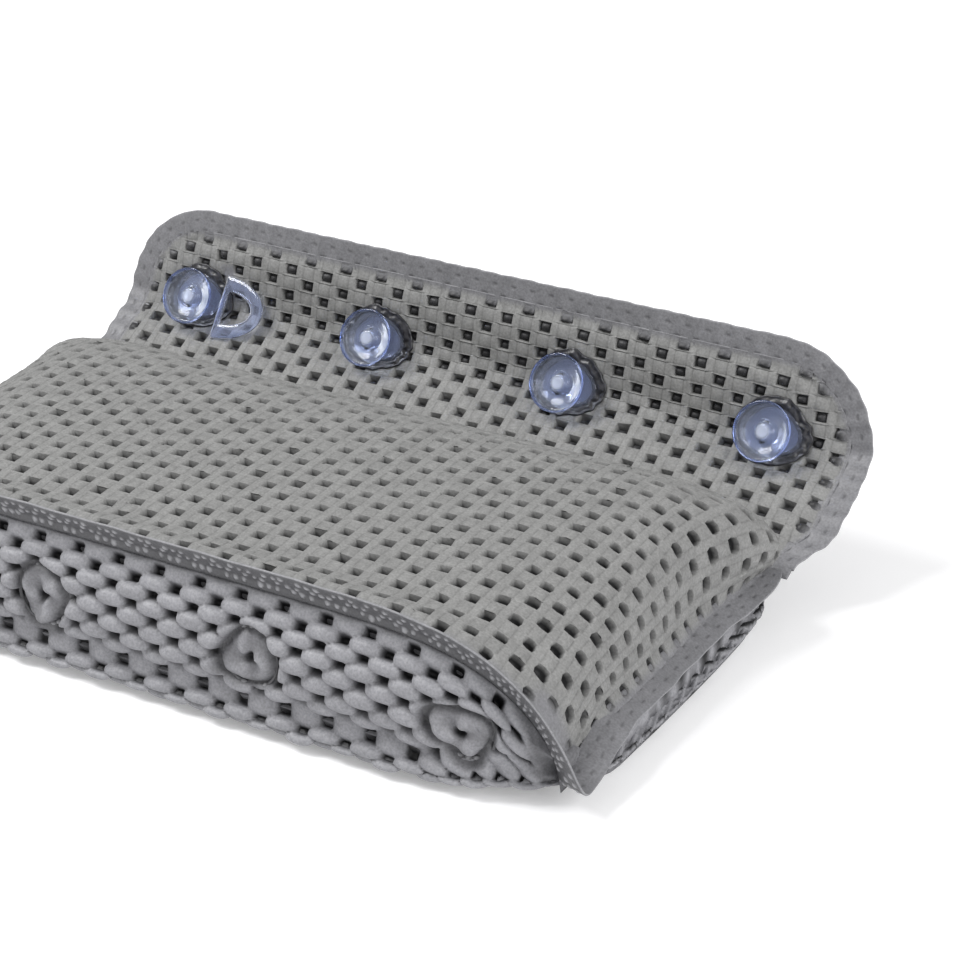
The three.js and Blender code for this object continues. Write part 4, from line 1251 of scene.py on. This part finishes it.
class PILLOW_OT_flap_sheets(bpy.types.Operator):
    """Back and front sheets of the flap"""

    bl_idname = "pillow.flap_sheets"
    bl_label = "Flap sheets"

    def execute(self, context):
        c, net, f, _ = sizes(context)
        colours = context.scene.pillow_colours
        reach, top = f.width / 2 - c.rim_width + FLAP_LAP, f.length - c.rim_width + FLAP_LAP
        across = NetLines(-reach, reach, net.pitch_across, net.flap_hole_across)
        along = NetLines(FLAP_START, top, net.pitch_along, net.flap_hole_along)
        pattern = HoleNet(across, along, 7, puff=0.5 * MM, collar=0.6 * MM)
        relief = pattern.height, pattern.pit, 0.35 * pattern.line
        build_flap_sheet(
            "flap_back_net", "flap_back_sheet", 1, (pattern.u, pattern.v), relief, c, net, f,
            foamed_pvc("foamed PVC flap back", colours.net_flap, colours, 0.62), "net_back",
        )
        across, along = EvenLines(-reach, reach, 0.9 * MM), EvenLines(FLAP_START, top, 0.9 * MM)
        x, h = np.broadcast_arrays(across.place[None, :], along.place[:, None])
        half_u, half_v = half_cell(2 * reach, net.pitch_across), half_cell(top, net.pitch_along)
        relief = lozenge_net(net, x + reach, h, half_u, half_v, seed=9)
        build_flap_sheet(
            "flap_front_net", "flap_front_sheet", -1, (x, h), relief, c, net, f,
            foamed_pvc("foamed PVC flap front", colours.net_front, colours, 0.5), "net_front",
        )
        return {"FINISHED"}


class PILLOW_OT_flap_weld(bpy.types.Operator):
    """Welded rim of the flap and the weld that it bends on"""

    bl_idname = "pillow.flap_weld"
    bl_label = "Flap welds"

    def execute(self, context):
        c, net, f, _ = sizes(context)
        colours = context.scene.pillow_colours
        material = foamed_pvc("welded PVC flap rim", colours.net_back, colours, 0.5)
        lines = [self.outline(f, inset) for inset in c.rim_width * (1 - RIM_SHARES)]
        travelled = run_lengths(lines[-1])
        along = np.linspace(0, travelled[-1], 1300)
        x, h = (
            np.stack([np.interp(along, travelled, line[:, axis]) for line in lines], 1) for axis in (0, 1)
        )
        puff = 0.35 * MM * np.sin(along / (1.23 * MM)) + 0.3 * MM * np.sin(along / (3.1 * MM))
        middle = flap_point(f, x, h, puff[:, None] * RIM_SHARES)
        square = unit(flap_point(f, x, h, np.full_like(x, MM)) - middle)
        thick = square * rim_taper(c, RIM_SHARES)[None, :, None]
        piece = weld_band(
            "flap_edge_band", middle, thick, square, along, RIM_SHARES, c.rim_width, net.pitch_across,
            material,
        )
        finish_piece(piece, "flap", "weld", "flap_edge_weld")
        self.hinge_strip(net, f, colours)
        return {"FINISHED"}

    def outline(self, f, inset):
        """The flap's outline drawn in by an inset, as x and h: a side, a round corner, the top and back."""
        straight_end, centre, radius = f.length - f.corner, f.width / 2 - f.corner, f.corner - inset
        side_h = np.linspace(1 * MM, straight_end, 400)
        side_x = flap_half(f, side_h, 0) - inset
        turn = np.linspace(0, np.pi / 2, 300)[1:]
        arc_x, arc_h = centre + radius * np.cos(turn), straight_end + radius * np.sin(turn)
        top_x = np.linspace(centre, -centre, 1500)[1:-1]
        top_h = np.full_like(top_x, f.length - inset)
        x = np.concatenate([side_x, arc_x, top_x, -arc_x[::-1], -side_x[::-1]])
        return np.stack([x, np.concatenate([side_h, arc_h, top_h, arc_h[::-1], side_h[::-1]])], 1)

    def hinge_strip(self, net, f, colours):
        """Weld along the hinge: a flat oval carried across, lapping over the cushion and the flap."""
        material = foamed_pvc("welded PVC hinge", colours.net_back, colours, 0.5)
        reach = f.root_width / 2 - 0.5 * MM
        half_wide, half_thick, ahead = 4.5 * MM, 1.5 * MM, 1.5 * MM
        x = np.linspace(-reach, reach, 400)[:, None]
        turns = np.linspace(0, 2 * np.pi, 20, endpoint=False)[None, :]
        thin = mix(0.25, 1, rise(x / (1.001 * reach), 12))
        wavy = 1 + 0.2 * np.sin(4 * np.pi * x / net.pitch_across)
        go, out = half_wide * np.cos(turns) + ahead, half_thick * thin * np.sin(turns) * wavy
        sin_lean, cos_lean = math.sin(f.lower_lean), math.cos(f.lower_lean)
        y = hinge_y + go * sin_lean - out * cos_lean
        z = hinge_z + go * cos_lean + out * sin_lean
        sections = stack(x, y, z)
        ones = np.ones(sections.shape[:2])
        piece = capped_bar("hinge_weld_strip", sections, material, {"pit": 0 * ones, "weld": ones})
        start, end = (
            Vector((0, hinge_y + up * sin_lean, hinge_z + up * cos_lean)) for up in (-2 * MM, 4 * MM)
        )
        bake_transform(piece)
        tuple(start)
        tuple(end)
        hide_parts("hinge_weld")


# Cups and loop

RING_RADIUS = 12.1 * MM  # middle of the fused ring round a base disc
RING_HALF = 2.6 * MM  # half the width of that ring


def cup_frame(c, f, cup_x):
    """Seat of a cup on the flap: the point, the axis out of the flap and the direction up the flap."""
    h = cup_line(f)
    lean = float(flap_middle(f, np.array(h))[2])
    axis = np.array([0, -math.cos(lean), math.sin(lean)])
    up = np.array([0, math.sin(lean), math.cos(lean)])
    return cup_side(f, c, np.array(cup_x), np.array(h)), axis, up


def smooth_profile(knots, steps):
    """Points on the smooth curve through some knots."""
    return catmull_rom(np.array(knots), np.linspace(0, 1, steps))


class PILLOW_OT_suction_cups(bpy.types.Operator):
    """Suction cups, their base discs and the fused rings round them"""

    bl_idname = "pillow.suction_cups"
    bl_label = "Suction cups"

    def execute(self, context):
        c, _, f, cups = sizes(context)
        clear = clear_pvc(context.scene.pillow_colours)
        fused = fused_ring(context.scene.pillow_colours)
        profile = self.cup_profile(cups)
        values = {
            "tint": 0.9 * smoothstep(profile[:, 0], cups.radius - 1.1 * MM, cups.radius - 0.3 * MM),
            "milk": 0.03 + 0.45 * (1 - smoothstep(profile[:, 0], 2.0 * MM, 3.0 * MM)),
        }
        for number, cup_x in zip(CUPS, cup_places()):
            seat = cup_frame(c, f, cup_x)
            cup = turned(f"clear_cup_{number}", profile, *seat, 72, clear, values)
            finish_piece(cup, f"cup_{number}", "clear_pvc", f"suction_cup_{number}")
            self.base_disc(number, cup_x, c, f, cups, seat, clear)
            self.weld_ring(number, cup_x, c, f, fused)
        return {"FINISHED"}

    def cup_profile(self, cups):
        """Half-section of a cup: ringed hub, bowl, thin lip, back of the bowl, sleeve and its bore."""
        r, top, hub, back = cups.radius, cups.height, cups.hub_top, cups.sleeve_end
        bore, roof = cups.neck_radius + 0.3 * MM, hub - 0.8 * MM
        hub_face = [(0, hub - 0.2 * MM), (1.0 * MM, hub - 0.15 * MM), (1.5 * MM, hub), (2.4 * MM, hub)]
        bowl = smooth_profile([
            (2.8 * MM, hub - 0.25 * MM), (3.9 * MM, roof - 0.2 * MM), (4.8 * MM, roof - 1.0 * MM),
            (0.72 * r, roof - 0.15 * MM), (0.9 * r, 0.86 * top), (r - 0.7 * MM, top - 0.1 * MM),
            (r - 0.35 * MM, top),
        ], 30)
        outside = smooth_profile([
            (r, top - 0.12 * MM), (0.91 * r, 0.82 * top), (0.75 * r, back + 2.3 * MM),
            (0.56 * r, back + 0.9 * MM), (bore + 1.3 * MM, back),
        ], 24)
        inside = [(bore, back), (bore, roof), (0, roof)]
        return np.concatenate([hub_face, bowl, outside, inside])[::-1]

    def base_disc(self, number, cup_x, c, f, cups, seat, material):
        """Disc that follows the valley, with a neck on the cup's axis, in rings from under to top."""
        turns = np.linspace(0, 2 * np.pi, 72, endpoint=False)
        point, axis, up = seat
        spokes = np.outer(np.cos(turns), (1, 0, 0)) + np.outer(np.sin(turns), up)

        def on_flap(radius, lift):
            x, h = cup_x + radius * np.cos(turns), cup_line(f) + radius * np.sin(turns)
            return cup_side(f, c, x, h, lift)

        low, top = 0.1 * MM, 0.3 * MM + cups.base_thickness
        disc = (
            (0.02, low), (0.3, low), (0.6, low), (0.9, low), (0.98, low),
            (1.0, 0.5 * top), (0.97, 0.9 * top), (0.9, top), (0.5, top),
        )
        neck = (
            (1.25, top + 0.5 * MM), (1.0, top + 1.1 * MM), (1.0, cups.neck_top - 0.3 * MM),
            (0.85, cups.neck_top), (0.02, cups.neck_top),
        )
        rings = [on_flap(wide * cups.base_radius, lift) for wide, lift in disc]
        rings += [point + lift * axis + wide * cups.neck_radius * spokes for wide, lift in neck]
        tint = np.full((len(rings), len(turns)), 0.3)
        values = {"tint": tint, "milk": 0.2 * tint}
        piece = capped_bar(f"cup_base_disc_{number}", np.array(rings), material, values)
        finish_piece(piece, "flap", "clear_pvc", f"cup_base_{number}")

    def weld_ring(self, number, cup_x, c, f, material):
        """Ragged ring of melted net round a base disc: a low oval section that wanders as it goes round."""
        turns = np.linspace(0, 2 * np.pi, 160, endpoint=False)[:, None]
        section = np.linspace(0, 2 * np.pi, 36, endpoint=False)[None, :]
        rng = np.random.default_rng(40 + number)
        wander = sum(
            rng.normal(0, 0.3 / (1 + k / 9)) * np.cos(k * turns + rng.uniform(0, 2 * np.pi))
            for k in range(3, 24)
        )
        ridges = 0.4 * np.sin(5 * section + 2 * wander)
        radius = RING_RADIUS + 0.3 * MM * wander + (RING_HALF + 0.3 * MM * wander) * np.cos(section)
        lift = (0.9 + 0.25 * wander + 0.7 * ridges) * MM * np.sin(section) + 0.7 * MM
        rings = cup_side(f, c, cup_x + radius * np.cos(turns), cup_line(f) + radius * np.sin(turns), lift)
        faces = [ring_faces(turns.size, section.size, closed=True)]
        piece = new_piece(f"cup_weld_ring_{number}", rings, faces, material)
        finish_piece(piece, "flap", "weld")


class PILLOW_OT_hang_loop(bpy.types.Operator):
    """Clear hanging loop beside the first cup"""

    bl_idname = "pillow.hang_loop"
    bl_label = "Hanging loop"

    def execute(self, context):
        *_, cups = sizes(context)
        joint = joints["loop_lift"]
        origin = np.array(joint["pos_m"])
        up = -np.array(joint["axis"])
        out = np.cross((1, 0, 0), up)
        turn = np.linspace(-np.pi / 2, np.pi / 2, 97)
        bow = np.stack([np.cos(turn), np.sin(turn)], 1)
        straight = np.stack([np.zeros(31), np.linspace(1, -1, 33)[1:-1]], 1)
        ring = np.concatenate([bow, straight])
        wide, half, band = cups.loop_width, cups.loop_length / 2, cups.loop_band
        outer = ring * (wide, half)
        inner = (cups.loop_bar, 0) + ring * (wide - band - cups.loop_bar, 0.92 * (half - band))
        corners = np.linspace(0, 2 * np.pi, 16, endpoint=False)
        round_square = np.stack([-np.cos(corners), np.sin(corners)])
        across, lift = 0.5 + 0.5 * np.sign(round_square) * np.abs(round_square) ** 0.6
        lift = lift * cups.loop_thickness
        flat = mix(outer[:, None], inner[:, None], across[None, :, None])
        raised = lift[None, :, None] * out
        rings = origin + flat[..., :1] * np.array([1, 0, 0]) + flat[..., 1:] * up + raised
        faces = [ring_faces(len(ring), len(corners), closed=True)]
        tint = np.full(rings.shape[:2], 0.3)
        values = {"tint": tint, "milk": 0.2 * tint}
        piece = new_piece("clear_hang_loop", rings, faces, clear_pvc(context.scene.pillow_colours), values)
        finish_piece(piece, "loop", "clear_pvc", "hang_loop")
        return {"FINISHED"}


# Stage


class PILLOW_OT_stage(bpy.types.Operator):
    """Pale floor, soft lights and the camera"""

    bl_idname = "pillow.stage"
    bl_label = "Stage"

    def execute(self, context):
        self.floor()
        self.world(context.scene)
        self.lamps(context.scene)
        self.camera(context.scene)
        context.scene.view_settings.view_transform = "Standard"
        return {"FINISHED"}

    def floor(self):
        """White floor: white to the camera, in gloss and through clear pieces, with the shadow kept.

        It glows a little more far out, where the lights no longer reach.
        """
        material, tree = fresh_material("white floor")
        path = add_node(tree, "ShaderNodeLightPath").outputs
        seen = combined(tree, "MAXIMUM", path["Is Camera Ray"], path["Is Glossy Ray"])
        seen = combined(tree, "MAXIMUM", seen, path["Is Transmission Ray"])
        place = add_node(tree, "ShaderNodeTexCoord").outputs["Object"]
        away = add_node(tree, "ShaderNodeVectorMath", {0: place}, operation="LENGTH").outputs["Value"]
        level = carried(tree, away, 0.28, 0.62, 0.3, 1.4)
        finish_material(tree, {
            "Base Color": (0.8, 0.8, 0.81, 1), "Roughness": 0.9, "Specular IOR Level": 0.0,
            "Emission Color": (1, 1, 1, 1), "Emission Strength": combined(tree, "MULTIPLY", seen, level),
        })
        half = 6.0
        corners = np.array([(-half, -half, 0), (half, -half, 0), (half, half, 0), (-half, half, 0)])
        new_piece("studio_floor", corners, [np.array([[0, 1, 2, 3]])], material)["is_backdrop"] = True

    def world(self, scene):
        """White surroundings, at half strength where they only light the pillow."""
        world = bpy.data.worlds.new("white studio")
        scene.world = world
        world.use_nodes = True
        tree = world.node_tree
        tree.nodes.clear()
        path = add_node(tree, "ShaderNodeLightPath").outputs
        seen = combined(tree, "MAXIMUM", path["Is Camera Ray"], path["Is Transmission Ray"])
        light = add_node(tree, "ShaderNodeBackground", {
            "Color": (1, 1, 1, 1), "Strength": carried(tree, seen, 0.5, 1.0),
        })
        add_node(tree, "ShaderNodeOutputWorld", {"Surface": light.outputs[0]})

    def lamps(self, scene):
        """A broad key light from the upper left and a weak fill from the near right."""
        for name, place, wide, watts in (
            ("key_softbox", (-0.95, -0.5, 1.5), 0.9, 28.0),
            ("fill_softbox", (1.5, -0.3, 0.9), 1.2, 19.0),
        ):
            lamp = bpy.data.lights.new(name, "AREA")
            lamp.shape = "DISK"
            lamp.size = wide
            lamp.energy = watts
            holder = bpy.data.objects.new(name, lamp)
            holder.location = place
            holder.rotation_euler = (-Vector(place)).to_track_quat("-Z", "Y").to_euler()
            scene.collection.objects.link(holder)

    def camera(self, scene):
        """Camera at the angle, distance and lens that fit the row of cups and the outline."""
        yaw, elevation, distance = math.radians(31.32), math.radians(25.03), 958.8 * MM
        target = Vector((66.97, -8.95, 57.04)) * MM
        back = Vector((
            math.sin(yaw) * math.cos(elevation), -math.cos(yaw) * math.cos(elevation), math.sin(elevation)
        ))
        lens = bpy.data.cameras.new("photo_camera")
        lens.sensor_width = 36.0
        lens.lens = 112.35
        holder = bpy.data.objects.new("photo_camera", lens)
        holder.location = target + back * distance
        holder.rotation_euler = (-back).to_track_quat("-Z", "Y").to_euler()
        scene.collection.objects.link(holder)
        scene.camera = holder


class PILLOW_PT_panel(bpy.types.Panel):
    """Lists the pieces of the pillow in the order in which they are built"""

    bl_idname = "PILLOW_PT_panel"
    bl_label = "Bath Pillow"
    bl_space_type = "VIEW_3D"
    bl_region_type = "UI"
    bl_category = "Bath Pillow"

    def draw(self, context):
        for operator in OPERATORS:
            self.layout.operator(operator.bl_idname)


SETTINGS = {
    "pillow_cushion": CushionSizes, "pillow_net": NetSizes, "pillow_flap": FlapSizes,
    "pillow_cups": CupSizes, "pillow_colours": PillowColours,
}
OPERATORS = (
    PILLOW_OT_stage, PILLOW_OT_fibre_fill, PILLOW_OT_back_panel, PILLOW_OT_front_panel,
    PILLOW_OT_edge_weld, PILLOW_OT_tuft_rings, PILLOW_OT_flap_sheets, PILLOW_OT_flap_weld,
    PILLOW_OT_suction_cups, PILLOW_OT_hang_loop,
)


def register():
    for cls in (*SETTINGS.values(), *OPERATORS, PILLOW_PT_panel):
        bpy.utils.register_class(cls)
    for key, group in SETTINGS.items():
        setattr(bpy.types.Scene, key, bpy.props.PointerProperty(type=group))


def unregister():
    for key in SETTINGS:
        delattr(bpy.types.Scene, key)
    for cls in (PILLOW_PT_panel, *reversed(OPERATORS), *reversed(list(SETTINGS.values()))):
        bpy.utils.unregister_class(cls)


def main():
    """Builds every piece in order."""
    register()
    for operator in OPERATORS:
        group, name = operator.bl_idname.split(".")
        getattr(getattr(bpy.ops, group), name)()
    boxes = {"cad": cad_box, "visual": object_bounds()}
    {key: [list(corner) for corner in box] for key, box in boxes.items()}


if __name__ == "__main__":
    main()
